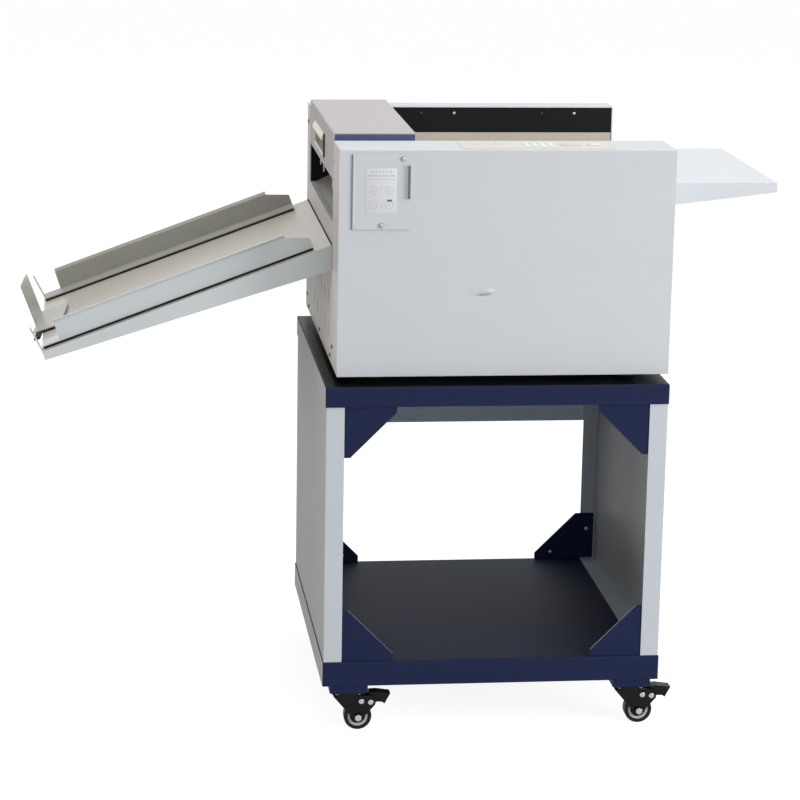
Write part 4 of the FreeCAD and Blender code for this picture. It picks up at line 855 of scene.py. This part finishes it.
@dataclass
class AccessDoor:
    """The tool door with its printed plate, its finger lip and its two captive screws."""

    machine: Machine
    face_y: float = -3.0
    low_z: float = 261.0
    tall: float = 131.0
    # Left, low, wide and tall.
    plate: Row = (45.5, 290.0, 54.0, 77.5)
    plate_t: float = 0.4
    circles: Pairs = ((59, 329.5), (86.5, 329.5), (59, 304.5), (86.5, 304.5))
    circle_r: float = 6.9
    circle_line: float = 0.6
    ring_depth: float = 0.3 * MM
    ring_slope: float = 0.02 * MM
    ring_sunk: float = 0.2 * MM
    ring_sides: int = 40
    # Each bar from the ring's middle: left, low, wide and tall.
    cross: tuple[Row, ...] = ((-1.4, -0.5, 2.6, 0.9), (-0.4, -2.4, 0.8, 3.8))
    ticks: int = 6
    tick_x: float = 56.4
    tick_pitch: float = 6.3
    # Each bar: over, low, how far every second one is shifted up, and tall.
    tick_bars: tuple[Row, ...] = ((0.0, 359.8, 1, 4.4), (1.3, 360.6, -1, 3.6))
    tick_w: float = 0.8
    dash_at: Pair = (48.4, 354.1)
    dash_pitch: float = 9.8
    dash_tall: float = 1.5
    dashes: Row = (8.6, 7.4, 9.0, 6.8, 8.2)
    rule: Row = (46.6, 348.6, 51.4, 0.6)
    strokes: Pairs = ((71.6, 330.4), (73.2, 334.6), (72.0, 297.4), (73.4, 301.8))
    stroke_size: Pair = (0.9, 4.4)
    squares: Pairs = ((83.2, 309.8), (87.5, 309.8))
    square_size: Pair = (3.5, 3.9)
    print_t: float = 0.1
    screws: Pairs = ((110.5, 384.0), (73.75, 268.0))
    head_lift: float = 0.3
    head_turn: float = 0.5
    shade_ring_t: float = 0.8
    shade_ring_r: float = 4.4
    shank_r: float = 1.9
    shank_long: float = 6.0
    # Where the flare starts and ends, and how far it stands out there.
    flare: Point = (103.0, 123.4, 5.6)
    flare_steps: int = 10
    flare_sheet: Pair = (0.04, 0.1)
    flare_bend: int = 3
    lip: Pair = (315.5, 373.0)
    lip_shade_x: Pair = (118.6, 122.8)
    lip_shade_y: Pair = (-8.8, -5.6)
    lip_shade_inset: float = 0.4
    edge_shadow_x: Pair = (21.6, 23.0)
    edge_shadow_y: Pair = (-1.8, 0.0)

    def build(self) -> None:
        """Dress the door and model the plate, its printed marks and the screws."""
        paint(self.machine.nodes, CASING, "access_door")
        x, z, wide, tall = self.plate
        at = self.machine.at
        plate = block("door_plate", at(x, self.face_y - self.plate_t, z),
                      at(x + wide, self.face_y, z + tall))
        dress(soften(plate, 0.15 * MM), LABEL)
        fit(plate, "door")
        fit(self._marks(), "door")
        fit(self._flare(), "door")
        # A grey strip on the finger lip's inner face: painted shade where the lip turns from the
        # light.
        lip_shade = block("door_lip_shade",
                     at(self.lip_shade_x[0], self.lip_shade_y[0], self.lip[0] + self.lip_shade_inset),
                     at(self.lip_shade_x[1], self.lip_shade_y[1], self.lip[1] - self.lip_shade_inset))
        fit(dress(soften(lip_shade, 0.5 * MM), LIP_SHADE), "door")
        # A grey strip by the door's hinged edge: painted shadow of the gap.
        edge_shadow = block("door_edge_shadow", at(self.edge_shadow_x[0], self.edge_shadow_y[0], self.low_z),
                     at(self.edge_shadow_x[1], self.edge_shadow_y[1], self.low_z + self.tall))
        fit(dress(soften(edge_shadow, 0.4 * MM), EDGE_SHADOW), "frame")
        fit(self._screws(), "door", ("door_screws",))

    def _flare(self) -> bpy.types.Object:
        """Model the sheet's gradual flare that leads out to the finger lip.

        Returns:
            The flare, a swept wedge on the door's face.
        """
        left, right, rise = self.flare
        at = self.machine.at
        front, back = self.flare_sheet
        flare = block("door_flare", at(left, self.face_y - front, self.lip[0]),
                      at(right, self.face_y + back, self.lip[1]))
        choose(flare)
        for step in range(1, self.flare_steps):
            share = step / self.flare_steps
            bpy.ops.object.mode_set(mode="EDIT")
            bpy.ops.mesh.select_all(action="SELECT")
            bpy.ops.mesh.bisect(plane_co=at(left + share * (right - left), 0, 0),
                                plane_no=(1, 0, 0))
            leave_edit()
        start, end = at(left, 0, 0).x, at(right, 0, 0).x
        skin = at(0, self.face_y - front / 2, 0).y
        for vertex in flare.data.vertices:
            if vertex.co.y < skin:
                share = (vertex.co.x - start) / (end - start)
                vertex.co.y -= rise * MM * share ** self.flare_bend
        bpy.ops.object.shade_smooth_by_angle(angle=math.radians(SMOOTH_DEG))
        return dress(flare, CASING)

    def _marks(self) -> bpy.types.Object:
        """Model the printed rings, rules, ticks and squares of the plate.

        Returns:
            The joined marks.
        """
        front = self.face_y - self.plate_t
        marks = []
        for ring_x, ring_z in self.circles:
            ring = drum("ring", self.machine.at(ring_x, front, ring_z), self.circle_r * MM,
                        self.ring_depth, Axis.Y, self.ring_sides)
            pick(ring, lambda face: face.normal.y < -FACING)
            bpy.ops.mesh.inset(thickness=self.circle_line * MM, depth=0)
            bpy.ops.mesh.inset(thickness=self.ring_slope, depth=-self.ring_sunk)
            leave_edit()
            marks.append(dress(ring, INK))
            marks += [self._mark(ring_x + over, ring_z + up, wide, tall, INK)
                      for over, up, wide, tall in self.cross]
        for tick in range(self.ticks):
            left = self.tick_x + tick * self.tick_pitch
            marks += [self._mark(left + over, low + step * (tick % 2), self.tick_w, tall, INK)
                      for over, low, step, tall in self.tick_bars]
        for dash, wide in enumerate(self.dashes):
            marks.append(self._mark(self.dash_at[0] + dash * self.dash_pitch, self.dash_at[1],
                                    wide, self.dash_tall, INK))
        marks.append(self._mark(*self.rule, INK))
        marks += [self._mark(*spot, *self.stroke_size, INK) for spot in self.strokes]
        marks += [self._mark(*spot, *self.square_size, INK_BLACK) for spot in self.squares]
        return join(marks, "door_plate_marks")

    def _mark(self, left: float, low: float, wide: float, tall: float,
              ink: Finish) -> bpy.types.Object:
        """Print one bar on the plate.

        Args:
            left: Its left edge, in the machine's millimetres.
            low: Its lower edge.
            wide: Its width.
            tall: Its height.
            ink: Its ink.

        Returns:
            The bar.
        """
        front = self.face_y - self.plate_t
        bar = block("mark", self.machine.at(left, front - self.print_t, low),
                    self.machine.at(left + wide, front + self.print_t, low + tall))
        return dress(soften(bar, 0.05 * MM, 1), ink)

    def _screws(self) -> bpy.types.Object:
        """Model the captive screws: a head on a black ring of painted shade, and a shank in the
        casing.

        Returns:
            The joined screws.
        """
        head = PanHead(radius=3.8 * MM, height=2.0 * MM, arm=2.4 * MM,
                       arm_width=1.1 * MM).model()
        copies = []
        at = self.machine.at
        for index, (x, z) in enumerate(self.screws):
            spot = at(x, self.face_y - self.head_lift, z)
            lie = turned(Axis.MINUS_Y, spot, self.head_turn + index)
            copies.append(copy_to(head, "head", lie))
            # A black ring under each head: painted shade round it.
            shade_ring = drum("shade_ring", at(x, self.face_y - self.shade_ring_t / 2, z),
                            self.shade_ring_r * MM, self.shade_ring_t * MM, Axis.Y, 32)
            copies.append(dress(soften(shade_ring, 0.2 * MM), ZINC_BLACK))
            shank = drum("shank", at(x, self.face_y + self.shank_long / 2, z),
                         self.shank_r * MM, self.shank_long * MM, Axis.Y, 16)
            copies.append(dress(soften(shank, 0.3 * MM), ZINC))
        discard(head)
        return join(copies, "door_screw_heads")


@dataclass
class Controls:
    """The overlay on the near box's top, with its keys, lamps and window."""

    machine: Machine
    left: float = 214.0
    near: float = 4.0
    top: float = 400.8
    lamps: Row = (231.0, 256.0, 281.0, 303.0)
    lamp_y: float = 76.0
    lamp_r: float = 1.8
    lamp_rise: float = 0.6
    keys: Row = (328.0, 342.0, 356.0, 370.0)
    key_y: Pair = (24.0, 74.0)
    key_w: float = 10.0
    key_rise: float = 0.7
    knob: Pair = (453.0, 50.0)
    # Radius, height and finish.
    discs: tuple[tuple[float, float, Finish], ...] = ((13.0, 0.5, INK_FAINT), (11.0, 1.2, LABEL))
    disc_sides: int = 40
    # Place from the near edge, and length.
    rules: Pairs = ((34, 52), (48, 64), (60, 58))
    rule_x: float = 236.0
    rule_w: float = 3.0
    window_x: Pair = (392.0, 428.0)
    window_y: Pair = (32.0, 64.0)
    border_x: Pair = (6.0, 269.0)
    border_y: Pair = (6.0, 88.0)
    border_w: float = 0.8
    print_z: Pair = (-0.1, 0.15)

    def build(self) -> None:
        """Dress the overlay and model what stands on it."""
        paint(self.machine.nodes, OVERLAY, "control_panel")
        at = self.machine.at
        face, raised = self.top, self.top + self.key_rise
        pieces = []
        for x in self.lamps:
            lamp = drum("lamp", at(x, self.near + self.lamp_y, face + self.lamp_rise / 2),
                        self.lamp_r * MM, self.lamp_rise * MM, Axis.Z, 16)
            pieces.append(dress(soften(lamp, 0.2 * MM), INK))
        for x in self.keys:
            key = block("key", at(x, self.near + self.key_y[0], face),
                        at(x + self.key_w, self.near + self.key_y[1], raised))
            pieces.append(dress(soften(key, 0.5 * MM), LABEL))
        for radius, rise, finish in self.discs:
            disc = drum("disc", at(self.knob[0], self.near + self.knob[1], face + rise / 2),
                        radius * MM, rise * MM, Axis.Z, self.disc_sides)
            pieces.append(dress(soften(disc, 0.3 * MM), finish))
        for row, wide in self.rules:
            pieces.append(self._line("rule", self.rule_x, self.near + row,
                                     self.rule_x + wide, self.near + row + self.rule_w))
        window = block("count_window", at(self.window_x[0], self.near + self.window_y[0], face),
                       at(self.window_x[1], self.near + self.window_y[1], raised))
        pieces.append(dress(soften(window, 0.3 * MM), INK_FAINT))
        fit(join(pieces, "overlay_keys"), "frame")
        left, right = (self.left + over for over in self.border_x)
        near, far = (self.near + over for over in self.border_y)
        thick = self.border_w
        bars = [self._line("bar", *edge) for edge in (
            (left, near, right, near + thick), (left, far - thick, right, far),
            (left, near, left + thick, far), (right - thick, near, right, far))]
        fit(join(bars, "overlay_border"), "frame")

    def _line(self, name: str, left: float, near: float, right: float,
              far: float) -> bpy.types.Object:
        """Print one faint bar on the overlay.

        Args:
            name: The bar's name.
            left: Its left edge, in the machine's millimetres.
            near: Its near edge.
            right: Its right edge.
            far: Its far edge.

        Returns:
            The bar.
        """
        low, high = (self.top + over for over in self.print_z)
        bar = block(name, self.machine.at(left, near, low), self.machine.at(right, far, high))
        return dress(soften(bar, 0.1 * MM, 1), INK_FAINT)


@dataclass
class FeedPath:
    """The bed's guides, the rollers, the creasing head and the in-feed table."""

    machine: Machine
    shaft_reach: float = 5.5 * MM
    rollers: tuple[str, ...] = ("feed_roller", "exit_roller_lower", "exit_roller_upper")

    def build(self) -> None:
        """Dress the nodes of the feed path, the rollers with steel shafts and gears."""
        nodes = self.machine.nodes
        paint(nodes, TAN, "infeed_guide_near", "infeed_guide_far")
        paint(nodes, TABLE, "infeed_table")
        paint(nodes, RUBBER, "separator_pad", "drive_belt")
        gear_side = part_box("near_side_frame")[1].y
        for name in self.rollers:
            paint(nodes, RUBBER, name)
            low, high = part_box(name)
            dress_faces(nodes[name], GROUND, self._steel((low + high) / 2, gear_side))
        paint(nodes, GROUND, "crease_die", "crease_beam", "crease_shaft")
        paint(nodes, BRONZE, "bearings")
        paint(nodes, ALLOY, "drive_motors", "motor_pulley")
        paint(nodes, BOARD, "electronics")

    def _steel(self, axle: Vector, gear_side: float) -> Callable[[bpy.types.MeshPolygon], bool]:
        """Give the test that tells a roller's shaft and gear from its rubber.

        Args:
            axle: A place on the shaft's axis.
            gear_side: The frame plate's inner face, with the gears on its near side.

        Returns:
            The test of a face.
        """
        def test(face: bpy.types.MeshPolygon) -> bool:
            """Tell of a face whether it is on the shaft or on the gear's side."""
            reach = math.hypot(face.center.x - axle.x, face.center.z - axle.z)
            return face.center.y < gear_side or reach < self.shaft_reach

        return test


@dataclass
class DeliveryTray:
    """The sloping tray with its guides, magnets and end stop."""

    machine: Machine
    # The black strip at the tray's end towards the machine is painted shadow of the gap at the
    # panel.
    # How far its sides are back from that end, and how far it goes under and over the tray's top.
    gap_shadow_x: Pair = (2.4 * MM, 0.2 * MM)
    gap_shadow_z: Pair = (1.4 * MM, 0.8 * MM)
    gap_shadow_end: float = 1.0 * MM

    def build(self) -> None:
        """Dress the tray's nodes and model a black strip at its end towards the machine, painted
        shadow of the gap at the panel.
        """
        nodes = self.machine.nodes
        paint(nodes, TRAY, "delivery_tray")
        paint(nodes, STOP, "end_stop")
        # The near guide is painted light.
        paint(nodes, LIT_GREY, "tray_guide_near")
        # The far guide is painted shade.
        paint(nodes, SHADE_GREY, "tray_guide_far")
        paint(nodes, MAGNET, "tray_magnet_near", "tray_magnet_far", "end_stop_magnet")
        # The tray's near-facing faces are painted light.
        dress_faces(nodes["delivery_tray"], LIT_GREY, lambda face: face.normal.y < -FACING)
        low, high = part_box("delivery_tray")
        # A black strip in ferrite rubber's colour: painted shadow of the gap where the tray meets
        # the panel.
        edge = block("tray_gap_shadow",
                     (high.x - self.gap_shadow_x[0], low.y + self.gap_shadow_end, high.z - self.gap_shadow_z[0]),
                     (high.x - self.gap_shadow_x[1], high.y - self.gap_shadow_end, high.z + self.gap_shadow_z[1]))
        fit(dress(soften(edge, 0.5 * MM), MAGNET), "frame")


@dataclass
class Rear:
    """The mains inlet module and its rocker."""

    machine: Machine

    def build(self) -> None:
        """Dress the module's nodes."""
        paint(self.machine.nodes, ABS_BLACK, "power_inlet", "rocker_switch")


@dataclass
class Stand:
    """The stand: folded top and shelf, side pans, rear panel and gussets."""

    machine: Machine
    gusset_t: float = 3.0 * MM
    lap: float = 26.0 * MM
    reach: float = 118.0 * MM
    end_depth: float = 1.0 * MM

    def build(self) -> None:
        """Dress the stand's nodes: other coats on the decks, painted shade on the side webs, painted
        reflection on the deck ends and a painted highlight on the gussets' slopes.
        """
        nodes = self.machine.nodes
        paint(nodes, NAVY, "stand_top", "stand_shelf", "stand_gussets")
        paint(nodes, POST, "stand_left_panel", "stand_right_panel")
        paint(nodes, BACK, "stand_back_panel")
        for name, finish in (("stand_top", DECK), ("stand_shelf", SHELF)):
            dress_faces(nodes[name], finish, lambda face: face.normal.z > FACING)
        # The gussets' up-facing slopes: a painted highlight in pale navy.
        dress_faces(nodes["stand_gussets"], NAVY_HIGHLIGHT,
                    lambda face: face.normal.z > SLOPING and abs(face.normal.x) > SLOPING)
        # The side webs take a slightly darker copy of the posts' paint: painted shade.
        for name in ("stand_left_panel", "stand_right_panel"):
            dress_faces(nodes[name], WEB, lambda face: abs(face.normal.x) > FACING)
        # The decks' left and right ends take the webs' grey in place of navy: painted reflection.
        for name in ("stand_top", "stand_shelf"):
            left, right = (corner.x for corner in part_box(name))
            dress_faces(nodes[name], WEB, self._end_test(left, right))
        self._beads()

    def _end_test(self, left: float, right: float) -> Callable[[bpy.types.MeshPolygon], bool]:
        """Give the test that finds a deck's outermost left and right faces.

        Args:
            left: The deck's left end, in metres.
            right: Its right end.

        Returns:
            The test of a face.
        """
        def test(face: bpy.types.MeshPolygon) -> bool:
            """Tell of a face whether it closes the deck's left or right end."""
            depth = min(abs(face.center.x - left), abs(face.center.x - right))
            return abs(face.normal.x) > FACING and depth < self.end_depth

        return test

    def _beads(self) -> None:
        """Model the sealing beads between the lower gussets and the shelf."""
        low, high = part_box("stand_gussets")
        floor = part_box("stand_shelf")[1].z
        beads = []
        for left, right in ((low.x + self.lap, low.x + self.reach),
                            (high.x - self.reach, high.x - self.lap)):
            for front in (low.y, high.y - self.gusset_t):
                bead = block("bead", (left, front, floor),
                             (right, front + self.gusset_t, low.z))
                beads.append(dress(soften(bead, 0.3 * MM), NAVY))
        fit(join(beads, "gusset_beads"), "frame")


@dataclass
class Castors:
    """Four castors, each with a moulded wheel, a bolt and its rivets."""

    machine: Machine
    corners: tuple[str, ...] = ("front_left", "front_right", "rear_left", "rear_right")
    tyre_r: float = 25.0 * MM
    wheel_w: float = 20.0 * MM
    rim_r: float = 17.8 * MM
    hub_r: float = 13.6 * MM
    trail: float = 19.0 * MM
    leg_face: float = 15.0 * MM
    bolt_face: float = 19.5 * MM
    # Ahead of the swivel's axis, and up from the floor.
    rivets: Pairs = ((24.8, 55.0), (41.5, 53.0))
    nut_reach: float = 20.0 * MM
    plate_low: float = 74.0 * MM
    step: float = 1.0 * MM
    rim_sunk: float = 1.2 * MM
    hub_sunk: float = 1.6 * MM
    hub_dish: float = 5.4 * MM
    boss_rise: float = 1.8 * MM
    bore_r: float = 4.05 * MM
    tyre_from: float = 18.1 * MM
    rim_from: float = 13.4 * MM
    # Radius and length of each fastener.
    cap: Pair = (6.5 * MM, 2.4 * MM)
    cap_lift: float = 0.6 * MM
    rivet: Pair = (5.0 * MM, 2.6 * MM)
    rivet_lift: float = 1.1 * MM
    nut: Pair = (5.5 * MM, 2.6 * MM)

    def build(self) -> None:
        """Dress the forks and model the wheels and fasteners."""
        nodes = self.machine.nodes
        master = self._wheel()
        for corner in self.corners:
            paint(nodes, FORK, f"castor_fork_{corner}")
            low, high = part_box(f"castor_wheel_{corner}")
            centre = (low + high) / 2
            wheel = copy_to(master, f"castor_tyre_{corner}", Matrix.Translation(centre))
            fit(wheel, f"wheel_{corner}", (f"castor_wheel_{corner}",))
            fit(self._fasteners(corner, centre), f"swivel_{corner}")
            if f"castor_brake_{corner}" in nodes:
                paint(nodes, FORK, f"castor_brake_{corner}")
        discard(master)

    def _wheel(self) -> bpy.types.Object:
        """Model one wheel about the origin, its axle along Y.

        Returns:
            The wheel in its tyre, rim and hub finishes.
        """
        wheel = drum("wheel", (0, 0, 0), self.tyre_r, self.wheel_w, Axis.Y, 64)
        pick(wheel, lambda face: abs(face.normal.y) > FACING)
        for flat, rise in ((self.tyre_r - self.rim_r - self.step, -self.rim_sunk),
                           (self.rim_r - self.hub_r, -self.hub_sunk),
                           (self.hub_dish, self.boss_rise)):
            bpy.ops.mesh.inset(thickness=flat, depth=0)
            bpy.ops.mesh.inset(thickness=self.step, depth=rise)
        leave_edit()
        soften(wheel, 0.7 * MM, 3, 50.0)
        bore = drum("bore_tool", (0, 0, 0), self.bore_r, 2 * self.wheel_w, Axis.Y, 32)
        cut_out(wheel, bore)
        dress(wheel, TYRE, RIM, FORK)
        for face in wheel.data.polygons:
            reach = math.hypot(face.center.x, face.center.z)
            if reach > self.tyre_from:
                face.material_index = 0
            elif reach > self.rim_from:
                face.material_index = 1
            else:
                face.material_index = 2
        return wheel

    def _fasteners(self, corner: str, centre: Vector) -> bpy.types.Object:
        """Model the axle's hexagon caps, the fork's rivets and the plate's nuts.

        Args:
            corner: Which castor it is.
            centre: The wheel's middle.

        Returns:
            The joined fasteners.
        """
        swivel_x = centre.x - self.trail
        pieces = []
        for side in (-1, 1):
            bolt_y = centre.y + side * (self.bolt_face + self.cap_lift)
            cap = drum("cap", (centre.x, bolt_y, centre.z), *self.cap, Axis.Y, 6)
            pieces.append(dress(soften(cap, 0.5 * MM), ZINC))
            rivet_y = centre.y + side * (self.leg_face + self.rivet_lift)
            for over, up in self.rivets:
                rivet = drum("rivet", (swivel_x + over * MM, rivet_y, up * MM), *self.rivet,
                             Axis.Y, 24)
                pieces.append(dress(soften(rivet, 1.1 * MM, 3), ZINC))
            for end in (-1, 1):
                place = (swivel_x + end * self.nut_reach, centre.y + side * self.nut_reach,
                         self.plate_low - self.nut[1] / 2)
                nut = drum("nut", place, *self.nut, Axis.Z, 6)
                pieces.append(dress(soften(nut, 0.4 * MM), ZINC))
        return join(pieces, f"castor_fasteners_{corner}")


# ---------------------------------------------------------------- studio
@dataclass(frozen=True)
class Lamp:
    """A soft square lamp: its name, place and side in metres, power in watts and colour."""

    name: str
    place: Point
    side: float
    power: float
    colour: str


@dataclass
class Studio:
    """A plain pale floor, soft lamps and the camera at the viewing place."""

    machine: Machine
    camera_place: Point = (-450.2, -4578.5, 1063.4)
    yaw: float = 7.00
    pitch: float = 13.48
    roll: float = 1.03
    focal_px: float = 2702.7
    frame_px: float = 800.0
    sensor_mm: float = 36.0
    sight: float = 60.0
    floor_side: float = 60.0
    floor_lit: str = "#c6c6c6"
    floor_seen: str = "#f8f8f8"
    floor_glow: float = 1.28
    floor_share: float = 0.7
    world_light: float = 0.34
    aim: Point = (0.0, 0.0, 0.6)
    lamps: tuple[Lamp, ...] = (
        Lamp("key", (0.7, -3.4, 2.8), 2.6, 32.0, "#ffffff"),
        Lamp("fill", (4.4, -3.2, 1.8), 2.4, 186.0, "#fbfcff"),
        Lamp("sky", (0.4, 0.3, 3.6), 3.0, 73.0, "#fffdfb"),
        Lamp("side", (-3.4, -0.6, 0.7), 2.2, 42.0, "#fff4ea"))

    def build(self) -> None:
        """Set up the camera, the floor, the world and the lamps."""
        self._camera()
        self._floor()
        self._world()
        for lamp in self.lamps:
            self._hang(lamp)
        bpy.context.scene.view_settings.view_transform = "Standard"

    def _camera(self) -> None:
        """Create the camera from its place, its angles and its focal length."""
        yaw, pitch, roll = (math.radians(a) for a in (self.yaw, self.pitch, self.roll))
        ahead = Vector((math.sin(yaw) * math.cos(pitch), math.cos(yaw) * math.cos(pitch),
                        -math.sin(pitch)))
        right = Vector((math.cos(yaw), -math.sin(yaw), 0))
        down = ahead.cross(right)
        right_rolled = math.cos(roll) * right - math.sin(roll) * down
        down_rolled = math.sin(roll) * right + math.cos(roll) * down
        data = bpy.data.cameras.new("studio_camera")
        data.sensor_width = self.sensor_mm
        data.lens = self.focal_px / self.frame_px * self.sensor_mm
        data.clip_end = self.sight
        camera = bpy.data.objects.new("studio_camera", data)
        bpy.context.scene.collection.objects.link(camera)
        turn = Matrix((right_rolled, -down_rolled, -ahead)).transposed().to_4x4()
        camera.matrix_world = Matrix.Translation(
            self.machine.at(*self.camera_place)) @ turn
        bpy.context.scene.camera = camera

    @staticmethod
    def _seen(tree: bpy.types.NodeTree) -> bpy.types.NodeSocket:
        """Tell where the camera sees a surface, straight on or by way of metal or glass.

        Args:
            tree: The node tree of the surface or of the world.

        Returns:
            A socket that is 1 for such rays and 0 for all others.
        """
        rays = add_node(tree, "LightPath").outputs
        some = add_node(tree, "Math", {
            0: rays["Is Camera Ray"], 1: rays["Is Glossy Ray"]}, operation="ADD")
        seen = add_node(tree, "Math", {
            0: some.outputs["Value"], 1: rays["Is Transmission Ray"]},
            operation="ADD", use_clamp=True)
        return seen.outputs["Value"]

    def _floor(self) -> None:
        """Lay a white floor that keeps the shadow and reads as white to the camera."""
        deselect()
        bpy.ops.mesh.primitive_plane_add(size=self.floor_side)
        floor = bpy.context.object
        floor.name = "studio_floor"
        material = bpy.data.materials.new("studio_white")
        material.use_nodes = True
        tree = material.node_tree
        tree.nodes.clear()
        seen = self._seen(tree)
        tone = add_node(tree, "Mix", {
            "Factor": seen, MIX_A: linear(self.floor_lit),
            MIX_B: linear(self.floor_seen)}, data_type="RGBA")
        matt = add_node(tree, "BsdfDiffuse", {"Color": tone.outputs[MIX_RESULT]})
        glow = add_node(tree, "Emission", {
            "Color": linear("#ffffff"), "Strength": self.floor_glow})
        share = add_node(tree, "Math", {0: seen, 1: self.floor_share}, operation="MULTIPLY")
        surface = add_node(tree, "MixShader", {
            0: share.outputs["Value"], 1: matt.outputs["BSDF"],
            2: glow.outputs["Emission"]})
        add_node(tree, "OutputMaterial", {"Surface": surface.outputs["Shader"]})
        floor.data.materials.append(material)

    def _world(self) -> None:
        """Fill the surroundings: white to the camera and in a gloss, a dim light to the rest."""
        world = bpy.data.worlds.new("studio_world")
        world.use_nodes = True
        tree = world.node_tree
        tree.nodes.clear()
        strength = add_node(tree, "MapRange", {
            "Value": self._seen(tree), "To Min": self.world_light, "To Max": 1.0})
        light = add_node(tree, "Background", {
            "Color": linear("#ffffff"), "Strength": strength.outputs["Result"]})
        add_node(tree, "OutputWorld", {"Surface": light.outputs["Background"]})
        bpy.context.scene.world = world

    def _hang(self, lamp: Lamp) -> None:
        """Hang one lamp so that it faces the machine.

        Args:
            lamp: The lamp's settings.
        """
        data = bpy.data.lights.new(lamp.name, "AREA")
        data.size = lamp.side
        data.energy = lamp.power
        data.color = linear(lamp.colour)[:3]
        light = bpy.data.objects.new(lamp.name, data)
        bpy.context.scene.collection.objects.link(light)
        light.location = lamp.place
        facing = Vector(self.aim) - Vector(lamp.place)
        light.rotation_euler = facing.to_track_quat("-Z", "Y").to_euler()


def main() -> None:
    """Load the frame, build each sub-assembly and light the studio."""
    logging.basicConfig(level=logging.INFO)
    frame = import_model()
    machine = Machine(frame["nodes"])
    for part in (Casing, Hood, AccessDoor, Controls, FeedPath, DeliveryTray, Rear, Stand,
                 Castors, Studio):
        part(machine).build()
        LOG.info("built %s", part.__name__)


if __name__ == "__main__":
    main()
